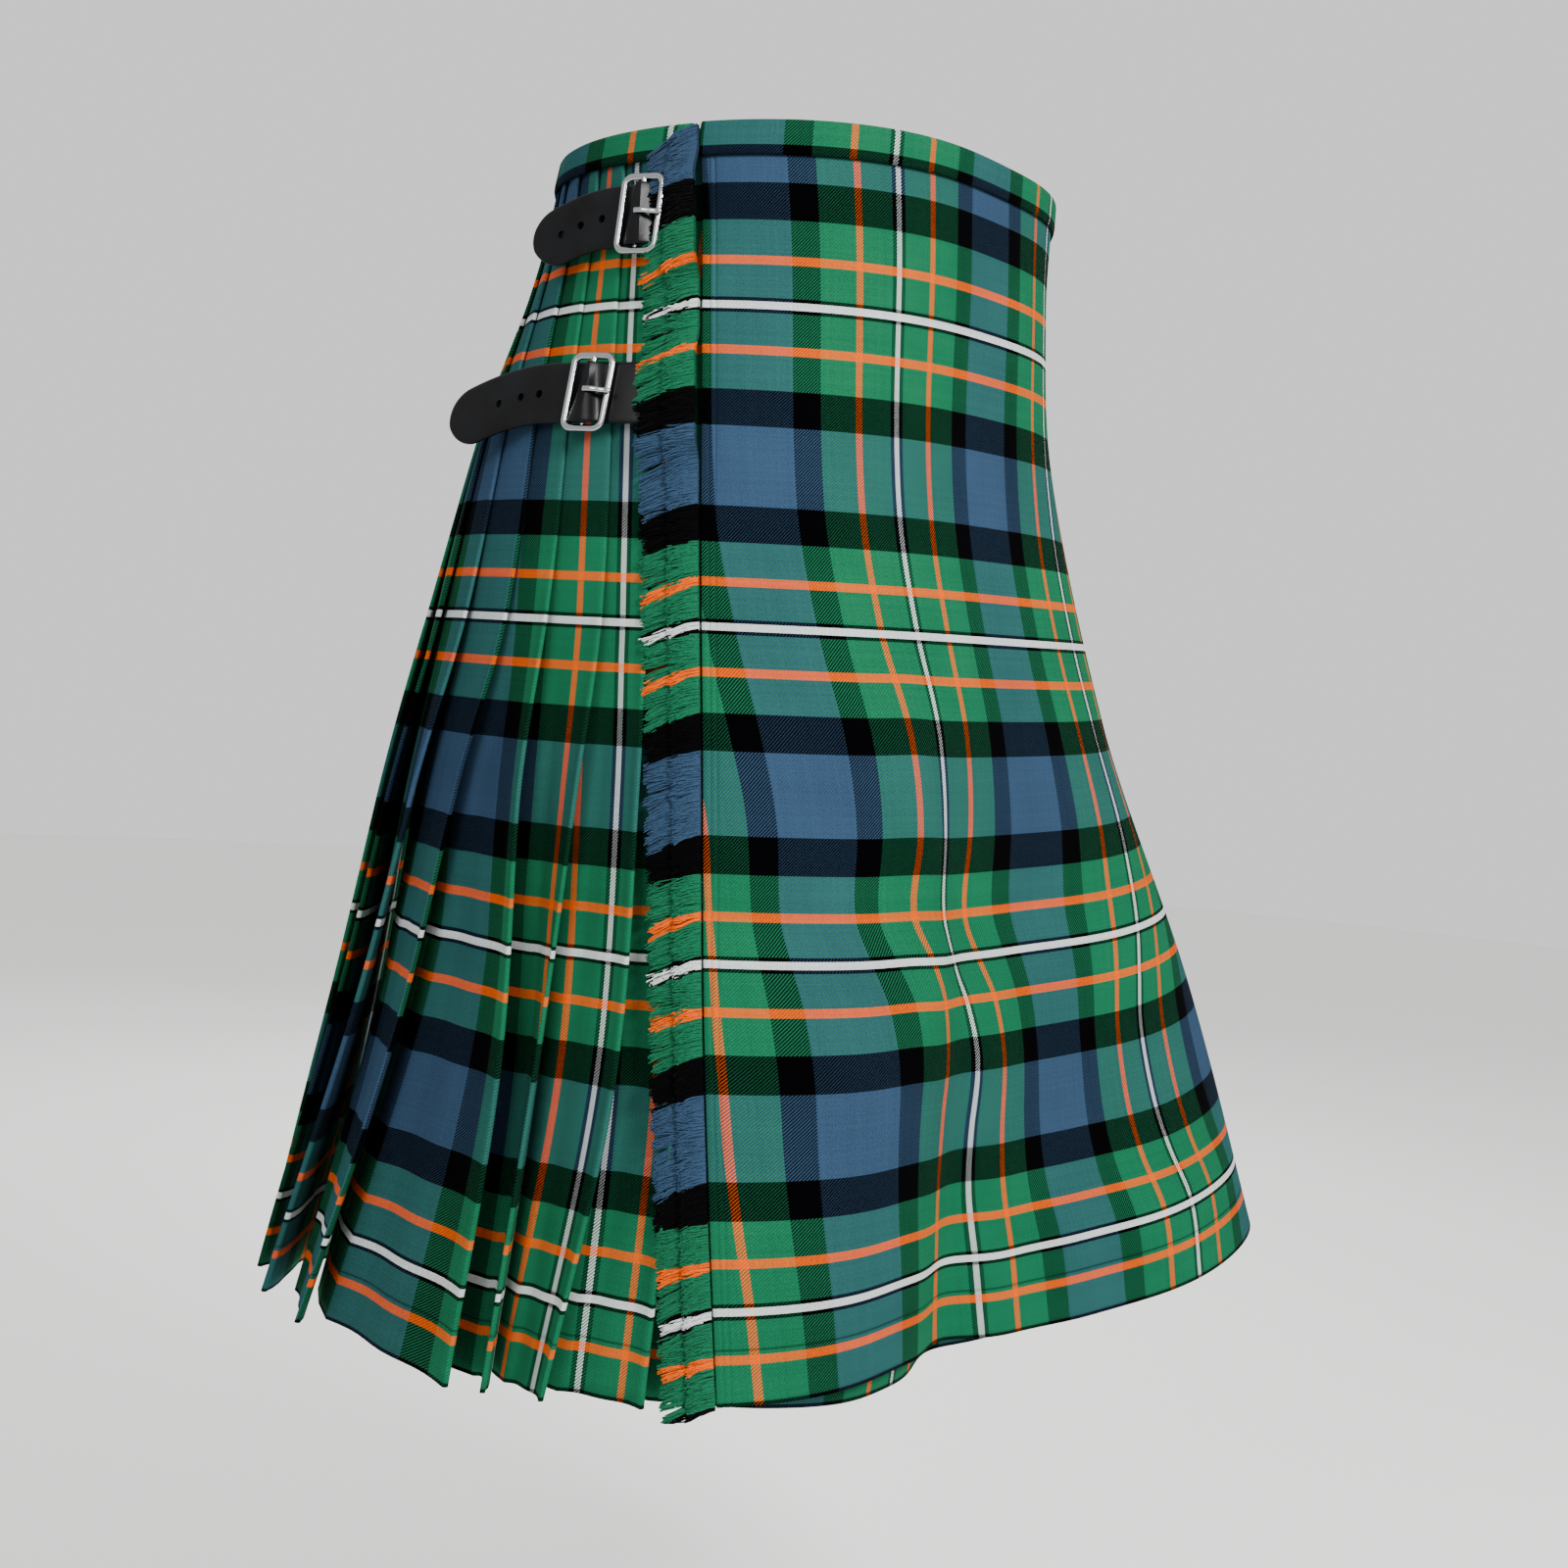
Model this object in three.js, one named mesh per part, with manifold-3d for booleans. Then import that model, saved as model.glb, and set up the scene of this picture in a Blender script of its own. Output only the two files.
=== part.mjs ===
// A worn Scottish kilt: one long tartan cloth, wrapped from the left hip over the front, with
// knife pleats round the back, leather straps and metal buckles. Millimetres, +Z up, the wearer
// faces -Y, and the origin is the middle of the waist.
import * as THREE from 'three';
import { mergeVertices } from 'three/addons/utils/BufferGeometryUtils.js';
import Module from 'manifold-3d';

// Driving dimensions.
const LENGTH = 610; // waist to hem, along the cloth
const TOP = 2; // the cloth's raw top edge, inside the band
const CLOTH = 1; // wall of every layer of cloth
const LAYER = 1.3; // one pleat layer and its gap
const PLEATS = 26;
const BACK_DIP = 14; // how far the waist sinks at the back
const BAND_HEIGHT = 17;
// Lifts of the band's leaves: the outer one, and the inner one behind each part that it closes.
const BAND_LIFT = { outer: 1.9, behindApron: -1.6, behindPleats: -7.2, underOuter: 1.5, underInner: -1.9 };
const FRINGE_WIDTH = { under: 28, edge: 15, atBuckle: 12.5 };
const SEAM_GAP = 0.4;
const STRAP = { width: 31, thickness: 2.2, hole: 4, holes: 3, firstHole: 10, holePitch: 12 };
const TAIL_STAND = 6; // how far a strap's tip stands off
const TAB_THICKNESS = 1.4;
const TAB_NARROWER = 3; // than its strap
const PRONG_RADIUS = 1;
const FRAME = { across: 25, tall: 40, bar: 3.4, thickness: 2.6, corner: 5, windowCorner: 1.5 };

// Tables are read with along(): each has a row of distances down the cloth and named rows of
// values at those distances.

// The wearer's form: distance from the waist's axis, in eight directions.
const DIRECTIONS = ['front', 'frontRight', 'right', 'backRight', 'back', 'backLeft', 'left', 'frontLeft'];
const FORM = {
  down: [0, 60, 150, 300, 450, 610],
  front: [110, 111, 117, 148, 163, 165],
  frontRight: [133, 133, 142, 178, 203, 210],
  right: [145, 152, 170, 202, 228, 254],
  backRight: [139, 150, 175, 206, 232, 262],
  back: [118, 130, 152, 182, 214, 255],
  backLeft: [139, 150, 176, 212, 245, 285],
  left: [146, 152, 167, 212, 262, 312],
  frontLeft: [133, 134, 145, 190, 248, 300],
};

// Soft drape folds of the front: a ridge or trough that runs from one turn to another.
const DRAPE = [
  { fromTurn: 38, toTurn: 26, top: 250, bottom: 480, width: 6, lift: 7 },
  { fromTurn: 24, toTurn: 14, top: 330, bottom: 640, width: 7, lift: -6 },
  { fromTurn: 10, toTurn: 2, top: 360, bottom: 640, width: 8, lift: 6 },
  { fromTurn: -14, toTurn: -22, top: 380, bottom: 640, width: 8, lift: -7 },
  { fromTurn: -38, toTurn: -46, top: 300, bottom: 640, width: 9, lift: 7 },
];

// Turn of the over-apron's fringed edge, and of the first seven fold edges, down the cloth.
// The other folds divide what is left, round to the over-apron's folded left edge.
const EDGE = {
  down: [0, 150, 300, 450, 610],
  turn: [81.4, 74.4, 67.8, 63.2, 58.6],
};
const LEFT_EDGE_TURN = 275;
const SHOWN_FOLDS = ['a', 'b', 'c', 'd', 'e', 'f', 'g'];
const FOLDS = {
  down: [0, 240, 330, 460, 610],
  a: [84.5, 72, 68.5, 66, 66.4],
  b: [92, 78.5, 75.1, 73.1, 76.9],
  c: [99.5, 85.3, 83.3, 82.6, 83.2],
  d: [107, 94, 91.1, 87, 87.2],
  e: [114.3, 101.7, 102.9, 105.7, 113],
  f: [121.6, 110.8, 112, 116.2, 124.5],
  g: [129, 119.5, 120.5, 124, 134],
};
// How far each face sinks below the next fold edge, and how many pleats deep a fold is tucked.
const PLEATING = {
  down: [0, 100, 200, 330, 460, 610],
  step: [2.6, 2.6, 2.8, 5.5, 9, 12],
  tuck: [1.1, 2, 2, 2, 2, 2],
};
// Under-apron's place inside the over-apron, and how far it hangs below it over the right thigh.
const UNDER_APRON = {
  down: [0, 300, 610],
  lift: [-6, -6.5, -9],
  sink: [0, 0, 13],
};
const UNDER_APRON_SINK_TURN = 30;
const UNDER_APRON_SINK_WIDTH = 24;
const UNDER_APRON_LEFT = -60;
const ROWS = [TOP, 40, 127, 200, 290, 380, 490, LENGTH]; // levels of every long piece

// Straps: where each starts, where its buckle sits, where it stands off from the hip, and how
// long its free tail is and how far that droops.
const STRAPS = [
  { name: 'waist_right', down: 45, start: 80.4, buckle: 90.2, leave: 96, tail: 47, droop: 16 },
  { name: 'hip_right', down: 135, start: 76.6, buckle: 93.4, leave: 101, tail: 64, droop: 18 },
  { name: 'waist_left', down: 45, start: 273.5, buckle: 262, leave: 255, tail: 42, droop: 10 },
];
// Lifts off the cloth; the ridge is how far a strap rises over its buckle's centre bar.
const LIFT = {
  fringeUnder: 2.4,
  fringeEdge: 4.3,
  fringeRise: 5.5,
  tab: 2.8,
  strap: 5.2,
  frame: 8.2,
  ridge: 5.9,
};

const radians = THREE.MathUtils.degToRad;

// Value of a table's row at a distance down the cloth, eased between its entries.
function along(table, name, down) {
  const downs = table.down;
  const values = table[name];
  const last = downs.length - 1;
  let entry = 0;
  while (entry < last - 1 && down > downs[entry + 1]) entry += 1;
  const slope = (from, to) => (values[to] - values[from]) / (downs[to] - downs[from]);
  const span = downs[entry + 1] - downs[entry];
  const near = slope(Math.max(entry - 1, 0), entry + 1) * span;
  const far = slope(entry, Math.min(entry + 2, last)) * span;
  const t = (down - downs[entry]) / span;
  const a = values[entry];
  const b = values[entry + 1];
  return a + t * near + t * t * (3 * (b - a) - 2 * near - far) + t * t * t * (near + far - 2 * (b - a));
}

// Bell of height 1 that fades out beyond its width.
function bell(distance, width) {
  return Math.exp(-((distance / width) ** 2));
}

// Height of the drape folds at a turn, where each fold leans and grows down the cloth.
function drape(turn, down) {
  const across = turn > 180 ? turn - 360 : turn;
  let lift = 0;
  for (const fold of DRAPE) {
    const t = THREE.MathUtils.clamp((down - fold.top) / (fold.bottom - fold.top), 0, 1);
    const centre = THREE.MathUtils.lerp(fold.fromTurn, fold.toTurn, t);
    const grown = fold.bottom > LENGTH ? Math.sin((t * Math.PI) / 2) : Math.sin(t * Math.PI);
    lift += fold.lift * grown * bell(across - centre, fold.width);
  }
  return lift;
}

// Distance of the cloth from the waist's axis: eight directions joined by one smooth wave.
function reach(turn, down) {
  let sum = 0;
  DIRECTIONS.forEach((name, index) => {
    const angle = radians(turn - 45 * index);
    const half = Math.tan(angle / 2);
    const weight = Math.abs(half) < 1e-9 ? 1 : Math.sin(4 * angle) / (8 * half);
    sum += weight * along(FORM, name, down);
  });
  return sum + drape(turn, down);
}

// Height of the cloth: it hangs from the waist, and loses height where it slants outward.
function height(turn, down) {
  const steps = Math.max(1, Math.round(down / 10));
  const step = down / steps;
  let z = (-BACK_DIP * (1 - Math.cos(radians(turn)))) / 2;
  let before = reach(turn, 0);
  for (let index = 1; index <= steps; index += 1) {
    const here = reach(turn, index * step);
    z -= Math.sqrt(step * step - (here - before) ** 2);
    before = here;
  }
  return z;
}

// Point on the cloth, moved outward by a lift.
function place(turn, down, lift = 0) {
  const distance = reach(turn, down) + lift;
  const angle = radians(turn);
  return new THREE.Vector3(-distance * Math.sin(angle), -distance * Math.cos(angle), height(turn, down));
}

// Closed body between two grids of points: both faces and the four borders. Each cell is cut
// along its shorter diagonal, so that layers which lie together bend alike.
function shell(outer, inner) {
  const rows = outer.length;
  const columns = outer[0].length;
  const positions = [];
  for (const grid of [outer, inner]) {
    for (const line of grid) for (const point of line) positions.push(point.x, point.y, point.z);
  }
  const at = (side, row, column) => (side * rows + row) * columns + column;
  const triangles = [];
  const quad = (a, b, c, d) => triangles.push(a, b, c, a, c, d);
  for (let row = 0; row < rows - 1; row += 1) {
    for (let column = 0; column < columns - 1; column += 1) {
      const falling = outer[row][column].distanceTo(outer[row + 1][column + 1]);
      const rising = outer[row + 1][column].distanceTo(outer[row][column + 1]);
      const corners = [[row, column], [row + 1, column], [row + 1, column + 1], [row, column + 1]];
      if (rising < falling) corners.push(corners.shift());
      const [a, b, c, d] = corners;
      quad(at(0, ...a), at(0, ...b), at(0, ...c), at(0, ...d));
      quad(at(1, ...a), at(1, ...d), at(1, ...c), at(1, ...b));
    }
    const end = columns - 1;
    quad(at(0, row, 0), at(1, row, 0), at(1, row + 1, 0), at(0, row + 1, 0));
    quad(at(0, row, end), at(0, row + 1, end), at(1, row + 1, end), at(1, row, end));
  }
  for (let column = 0; column < columns - 1; column += 1) {
    const end = rows - 1;
    quad(at(0, 0, column), at(0, 0, column + 1), at(1, 0, column + 1), at(1, 0, column));
    quad(at(0, end, column), at(1, end, column), at(1, end, column + 1), at(0, end, column + 1));
  }
  const geometry = new THREE.BufferGeometry();
  geometry.setAttribute('position', new THREE.Float32BufferAttribute(positions, 3));
  geometry.setIndex(triangles);
  return turnedOut(geometry);
}

// The same body with its faces out: a negative volume means that they all point in.
function turnedOut(geometry) {
  const position = geometry.getAttribute('position');
  const index = geometry.getIndex();
  const corner = [new THREE.Vector3(), new THREE.Vector3(), new THREE.Vector3()];
  let volume = 0;
  for (let start = 0; start < index.count; start += 3) {
    corner.forEach((point, side) => point.fromBufferAttribute(position, index.getX(start + side)));
    volume += corner[0].dot(corner[1].cross(corner[2]));
  }
  if (volume < 0) {
    for (let start = 0; start < index.count; start += 3) {
      const first = index.getX(start);
      index.setX(start, index.getX(start + 1));
      index.setX(start + 1, first);
    }
  }
  return geometry;
}

// Turn of a numbered fold edge; folds past the shown ones share the rest of the way round.
function foldTurn(number, down) {
  const shown = SHOWN_FOLDS.length - 1;
  if (number <= shown) {
    const low = Math.floor(number);
    const high = Math.min(low + 1, shown);
    const from = along(FOLDS, SHOWN_FOLDS[low], down);
    return THREE.MathUtils.lerp(from, along(FOLDS, SHOWN_FOLDS[high], down), number - low);
  }
  const last = along(FOLDS, SHOWN_FOLDS[shown], down);
  return last + ((LEFT_EDGE_TURN - last) * (number - shown)) / (PLEATS - shown);
}

// Wall along a folded path, at each of the rows down the cloth. Each station of the path is a
// turn, a lift and, if the cloth hangs low there, a sink; the wall's two faces lie half its
// thickness either side, square to the path.
function foldedWall(path, rows, thickness) {
  const outer = [];
  const inner = [];
  for (const down of rows) {
    const stations = path(down);
    let run = 0;
    const flat = stations.map((station, index) => {
      const before = stations[Math.max(index - 1, 0)];
      const middle = (station.turn + before.turn) / 2;
      run += radians(station.turn - before.turn) * reach(middle, down);
      return new THREE.Vector2(run, station.lift);
    });
    const outerLine = [];
    const innerLine = [];
    stations.forEach((station, index) => {
      const before = flat[Math.max(index - 1, 0)];
      const after = flat[Math.min(index + 1, flat.length - 1)];
      const tangent = after.clone().sub(before).normalize();
      const normal = new THREE.Vector2(tangent.y, -tangent.x).multiplyScalar(thickness / 2);
      const offset = normal.x / reach(station.turn, down) / radians(1);
      const sink = new THREE.Vector3(0, 0, station.sink ?? 0);
      outerLine.push(place(station.turn + offset, down, station.lift + normal.y).sub(sink));
      innerLine.push(place(station.turn - offset, down, station.lift - normal.y).sub(sink));
    });
    outer.push(outerLine);
    inner.push(innerLine);
  }
  return shell(outer, inner);
}

// Stations of a tucked return and its fold edge, from the tuck's end to the outer face.
function foldStations(number, down) {
  const step = along(PLEATING, 'step', down);
  const tuck = along(PLEATING, 'tuck', down);
  const turn = foldTurn(number, down);
  const bend = LAYER / 2;
  const bendTurn = (bend / reach(turn, down)) / radians(1);
  return [
    { turn: foldTurn(number + tuck, down), lift: -LAYER - tuck * step },
    { turn: foldTurn(number + 1, down), lift: -LAYER - step },
    { turn: turn + bendTurn, lift: -LAYER },
    { turn, lift: -bend },
    { turn: turn + bendTurn, lift: 0 },
  ];
}

// One knife pleat: its return, its fold edge, its face and the tucked end of the face.
function pleat(number) {
  const path = (down) => {
    const step = along(PLEATING, 'step', down);
    const end = 1 + along(PLEATING, 'tuck', down);
    const face = [1, 2].map((folds) => ({ turn: foldTurn(number + folds, down), lift: -folds * step }));
    const last = { turn: foldTurn(number + end, down), lift: -end * step };
    return [...foldStations(number, down), ...face, last];
  };
  return foldedWall(path, ROWS, CLOTH);
}

// The over-apron: its folded left edge, then one face across the front to the fringed edge.
function overApron() {
  const columns = 24;
  const path = (down) => {
    const start = foldTurn(PLEATS + 2, down);
    const end = 360 + along(EDGE, 'turn', down);
    const face = [{ turn: foldTurn(PLEATS + 1, down), lift: 0 }];
    for (let column = 0; column <= columns; column += 1) {
      face.push({ turn: THREE.MathUtils.lerp(start, end, column / columns), lift: 0 });
    }
    return [...foldStations(PLEATS, down), ...face];
  };
  return foldedWall(path, ROWS, CLOTH);
}

// Lift of the under-apron: it leaves the last pleat's tuck and settles inside the over-apron.
function underApronLift(turn, down) {
  const first = foldTurn(0, down);
  const settled = along(UNDER_APRON, 'lift', down);
  const t = THREE.MathUtils.smoothstep(first - turn, 0, 14);
  return THREE.MathUtils.lerp(-along(PLEATING, 'step', down) - 1, settled, t);
}

// How far the under-apron hangs below the over-apron, which rides up over the right thigh.
function underApronSink(turn, down) {
  const distance = turn - UNDER_APRON_SINK_TURN;
  return along(UNDER_APRON, 'sink', Math.max(down, 300)) * bell(distance, UNDER_APRON_SINK_WIDTH);
}

// The under-apron: it starts in the last pleat's tuck and runs on round the front to the left.
function underApron() {
  const columns = 20;
  const path = (down) => {
    const step = along(PLEATING, 'step', down);
    const tuck = along(PLEATING, 'tuck', down);
    const first = foldTurn(0, down);
    const face = [
      { turn: foldTurn(tuck, down), lift: -(1 + tuck) * step },
      { turn: foldTurn(1, down), lift: -2 * step },
    ];
    for (let column = 0; column <= columns; column += 1) {
      const turn = THREE.MathUtils.lerp(first, UNDER_APRON_LEFT, column / columns);
      face.push({ turn, lift: underApronLift(turn, down), sink: underApronSink(turn, down) });
    }
    return face;
  };
  return foldedWall(path, ROWS, CLOTH);
}

// Folded band over the cloth's top edge: outer leaf, top and inner leaf, carried round the waist.
function waistband(fromTurn, toTurn, columns, outerLift, innerLift) {
  const half = CLOTH / 2;
  const leaf = BAND_HEIGHT - 2;
  const outside = [];
  const inside = [];
  for (let column = 0; column <= columns; column += 1) {
    const turn = THREE.MathUtils.lerp(fromTurn, toTurn, column / columns);
    const high = outerLift(turn);
    const low = innerLift(turn);
    outside.push([
      place(turn, BAND_HEIGHT, high + half),
      place(turn, 0, high + half),
      place(turn, 0, low - half),
      place(turn, leaf, low - half),
    ]);
    inside.push([
      place(turn, BAND_HEIGHT, high - half),
      place(turn, 2 * half, high - half),
      place(turn, 2 * half, low + half),
      place(turn, leaf, low + half),
    ]);
  }
  return shell(outside, inside);
}

// How far the fringes rise to pass over the two straps on the right.
function fringeRise(down) {
  const right = STRAPS.filter((strap) => strap.name.endsWith('right'));
  const rise = right.map((strap) => THREE.MathUtils.smoothstep(34 - Math.abs(down - strap.down), 0, 16));
  return LIFT.fringeRise * Math.max(...rise);
}

// A fringe: a plain strip behind the over-apron's edge, as wide as its threads reach, and
// narrower where it stops at the waist buckle.
function fringe(width, lift) {
  const rows = [TOP + BAND_HEIGHT, 28, 62, 71, 101, 117, 153, 169, 200, 290, 380, 490, LENGTH];
  const path = (down) => {
    const edge = along(EDGE, 'turn', down);
    const millimetre = 1 / (reach(edge, down) * radians(1));
    const beside = THREE.MathUtils.smoothstep(26 - Math.abs(down - STRAPS[0].down), 0, 9);
    const room = THREE.MathUtils.lerp(width, Math.min(width, FRINGE_WIDTH.atBuckle), beside);
    return [SEAM_GAP, room / 2, room].map((distance) => ({
      turn: edge + distance * millimetre,
      lift: lift + fringeRise(down),
    }));
  };
  return foldedWall(path, rows, CLOTH);
}

// Way round the waist that a strap runs, from its sewn end to its tip: 1 or -1.
function wayOf(strap) {
  return Math.sign(strap.leave - strap.start);
}

// Level direction square to the cloth, away from the waist's axis.
function outwardAt(turn, down) {
  const tangent = place(turn + 1, down).sub(place(turn - 1, down));
  return new THREE.Vector3(-tangent.y, tangent.x, 0).normalize();
}

// Outward slope of the cloth at a place, per millimetre down.
function slopeAt(turn, down) {
  return (reach(turn, down + 15) - reach(turn, down - 15)) / 30;
}

// Middle line of a strap, from its sewn end to its tip: each station is a point and the way out.
function strapLine(strap) {
  const way = wayOf(strap);
  const halfFrame = FRAME.across / 2 / (reach(strap.buckle, strap.down) * radians(1));
  const stations = [];
  const follow = (turn, lift) => {
    stations.push({ point: place(turn, strap.down, lift), outward: outwardAt(turn, strap.down) });
  };
  const stretch = (from, to, steps) => {
    for (let index = 0; index < steps; index += 1) {
      follow(THREE.MathUtils.lerp(from, to, index / steps), LIFT.strap);
    }
  };
  const enter = strap.buckle - way * halfFrame;
  stretch(strap.start, enter, 5);
  follow(strap.buckle - way * halfFrame * 0.56, LIFT.strap);
  follow(strap.buckle - way * halfFrame * 0.2, LIFT.strap + LIFT.ridge);
  follow(strap.buckle + way * halfFrame * 0.2, LIFT.strap + LIFT.ridge);
  follow(strap.buckle + way * halfFrame * 0.56, LIFT.strap);
  stretch(strap.buckle + way * halfFrame, strap.leave, 3);
  follow(strap.leave, LIFT.strap);
  const { point, outward } = stations[stations.length - 1];
  const onward = new THREE.Vector3(outward.y, -outward.x, 0).multiplyScalar(way);
  for (const share of [0.4, 0.75, 0.88, 0.95, 1]) {
    const tail = point.clone().addScaledVector(onward, share * strap.tail);
    tail.addScaledVector(outward, share * share * TAIL_STAND);
    tail.z -= share * share * strap.droop;
    stations.push({ point: tail, outward, tail: share });
  }
  return stations;
}

// A leather strip of upright width along a line, square at its start and, if asked, rounded at
// its tip. It leans with the cloth's slope.
function strip(line, width, thickness, slope, rounded) {
  const outer = [];
  const inner = [];
  const tip = line[line.length - 1].point;
  const lean = Math.sqrt(1 - slope * slope);
  for (const { point, outward } of line) {
    const up = outward.clone().multiplyScalar(-slope).setZ(lean);
    const normal = outward.clone().multiplyScalar(lean).setZ(slope);
    const inset = rounded ? Math.max(0, 1 - point.distanceTo(tip) / (width / 2)) : 0;
    const half = (width / 2) * Math.max(0.3, Math.sqrt(1 - inset * inset));
    const across = [half, 0, -half].map((offset) => point.clone().addScaledVector(up, offset));
    outer.push(across.map((side) => side.clone().addScaledVector(normal, thickness / 2)));
    inner.push(across.map((side) => side.clone().addScaledVector(normal, -thickness / 2)));
  }
  return shell(outer, inner);
}

// Solid of a closed geometry for the boolean cuts, and back.
const wasm = await Module();
wasm.setup();
function toSolid(geometry) {
  const bare = geometry.clone().deleteAttribute('normal').deleteAttribute('uv');
  const merged = mergeVertices(bare);
  const vertProperties = new Float32Array(merged.getAttribute('position').array);
  const triVerts = new Uint32Array(merged.getIndex().array);
  return new wasm.Manifold(new wasm.Mesh({ numProp: 3, vertProperties, triVerts }));
}
function toGeometry(solid) {
  const mesh = solid.getMesh();
  const geometry = new THREE.BufferGeometry();
  geometry.setAttribute('position', new THREE.Float32BufferAttribute(mesh.vertProperties, 3));
  geometry.setIndex([...mesh.triVerts]);
  return geometry;
}

// Matrix that sets a flat piece on the cloth: x towards the strap's tip, y up the cloth's slope
// and z outward.
function seat(strap, lift) {
  const point = place(strap.buckle, strap.down, lift);
  const level = outwardAt(strap.buckle, strap.down);
  const slope = slopeAt(strap.buckle, strap.down);
  const outward = level.clone().multiplyScalar(Math.sqrt(1 - slope * slope)).setZ(slope);
  const toTip = new THREE.Vector3(level.y, -level.x, 0).multiplyScalar(wayOf(strap));
  const up = new THREE.Vector3().crossVectors(outward, toTip);
  return new THREE.Matrix4().makeBasis(toTip, up, outward).setPosition(point);
}

// Strap with its row of punched holes in the tail.
function strapLeather(strap) {
  const line = strapLine(strap);
  const slope = slopeAt(strap.buckle, strap.down);
  let solid = toSolid(strip(line, STRAP.width, STRAP.thickness, slope, true));
  const tail = line.filter((station) => station.tail);
  const leave = line[line.length - 1 - tail.length];
  const onward = tail[0].point.clone().sub(leave.point).normalize();
  for (let hole = 0; hole < STRAP.holes; hole += 1) {
    const punch = new THREE.CylinderGeometry(STRAP.hole / 2, STRAP.hole / 2, 4 * STRAP.thickness, 8);
    const centre = leave.point.clone().addScaledVector(onward, STRAP.firstHole + hole * STRAP.holePitch);
    const yAxis = new THREE.Vector3(0, 1, 0);
    punch.applyQuaternion(new THREE.Quaternion().setFromUnitVectors(yAxis, leave.outward));
    punch.translate(centre.x, centre.y, centre.z);
    solid = solid.subtract(toSolid(punch));
  }
  return toGeometry(solid);
}

// Rounded rectangle outline, as a shape or as a window in one.
function roundedRectangle(target, left, bottom, width, tall, corner) {
  const right = left + width;
  const top = bottom + tall;
  target.moveTo(left + corner, bottom);
  target.lineTo(right - corner, bottom);
  target.absarc(right - corner, bottom + corner, corner, -Math.PI / 2, 0);
  target.absarc(right - corner, top - corner, corner, 0, Math.PI / 2);
  target.absarc(left + corner, top - corner, corner, Math.PI / 2, Math.PI);
  target.absarc(left + corner, bottom + corner, corner, Math.PI, 1.5 * Math.PI);
  return target;
}

// Buckle frame: a rounded rectangle with two windows either side of its centre bar.
function buckleFrame(strap) {
  const { across, tall, bar, thickness, corner, windowCorner } = FRAME;
  const shape = roundedRectangle(new THREE.Shape(), -across / 2, -tall / 2, across, tall, corner);
  const windowWidth = (across - 3 * bar) / 2;
  const windowTall = tall - 2 * bar;
  for (const left of [-across / 2 + bar, bar / 2]) {
    const path = new THREE.Path();
    shape.holes.push(roundedRectangle(path, left, -windowTall / 2, windowWidth, windowTall, windowCorner));
  }
  const geometry = new THREE.ExtrudeGeometry(shape, {
    depth: thickness,
    curveSegments: 2,
    bevelEnabled: false,
  });
  geometry.translate(0, 0, -thickness / 2);
  return geometry.applyMatrix4(seat(strap, LIFT.frame));
}

// Prong: a round bar from the strap's ridge down onto the toe bar, where the strap comes in.
function buckleProng(strap) {
  const ridge = LIFT.strap + LIFT.ridge + STRAP.thickness / 2 - LIFT.frame + PRONG_RADIUS + SEAM_GAP;
  const toeTop = FRAME.thickness / 2 + PRONG_RADIUS + SEAM_GAP;
  const half = FRAME.across / 2;
  const points = [
    new THREE.Vector3(0, 0, ridge),
    new THREE.Vector3(-half * 0.4, 0, ridge),
    new THREE.Vector3(-half * 0.85, 0, toeTop + 0.3),
    new THREE.Vector3(-half * 1.12, 0, toeTop),
  ];
  const section = new THREE.Shape();
  section.absarc(0, 0, PRONG_RADIUS, 0, 2 * Math.PI);
  const geometry = new THREE.ExtrudeGeometry(section, {
    steps: 6,
    curveSegments: 6,
    bevelEnabled: false,
    extrudePath: new THREE.CatmullRomCurve3(points),
  });
  return geometry.applyMatrix4(seat(strap, LIFT.frame));
}

// Leather tab under the strap, which holds the buckle to the cloth.
function buckleTab(strap) {
  const way = wayOf(strap);
  const line = [-3, 1, 5, 9, 13].map((degrees) => {
    const turn = strap.buckle + way * degrees;
    return { point: place(turn, strap.down, LIFT.tab), outward: outwardAt(turn, strap.down) };
  });
  return strip(line, STRAP.width - TAB_NARROWER, TAB_THICKNESS, slopeAt(strap.buckle, strap.down), false);
}

const CLOTH_LOOK = { roughness: 0.9, metalness: 0 };
const greenCloth = new THREE.MeshStandardMaterial({ color: '#1f7a55', ...CLOTH_LOOK });
const blueCloth = new THREE.MeshStandardMaterial({ color: '#3a5c86', ...CLOTH_LOOK });
const leather = new THREE.MeshStandardMaterial({ color: '#17181a', roughness: 0.45, metalness: 0 });
const nickel = new THREE.MeshStandardMaterial({ color: '#c9ccd0', roughness: 0.2, metalness: 1 });

const kilt = new THREE.Group();
function add(name, geometry, material) {
  const mesh = new THREE.Mesh(geometry, material);
  mesh.name = name;
  kilt.add(mesh);
}

add('over_apron', overApron(), greenCloth);
add('under_apron', underApron(), blueCloth);
for (let number = 0; number < PLEATS; number += 1) {
  const name = `pleat_${String(number + 1).padStart(2, '0')}`;
  add(name, pleat(number), number % 2 ? greenCloth : blueCloth);
}
const overFrom = EDGE.turn[0] - 0.3;
const overTo = LEFT_EDGE_TURN - 360 + 0.2;
const behindOver = (turn) => {
  const pastUnderApron = THREE.MathUtils.smoothstep(UNDER_APRON_LEFT - turn, 1, 6);
  return THREE.MathUtils.lerp(BAND_LIFT.behindApron, BAND_LIFT.behindPleats, pastUnderApron);
};
const bandFront = () => BAND_LIFT.outer;
add('waistband_over_apron', waistband(overFrom, overTo, 24, bandFront, behindOver), greenCloth);
const pleatsFrom = EDGE.turn[0] + 2.2;
const pleatsTo = LEFT_EDGE_TURN - 0.4;
const behindPleats = () => BAND_LIFT.behindPleats;
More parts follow.
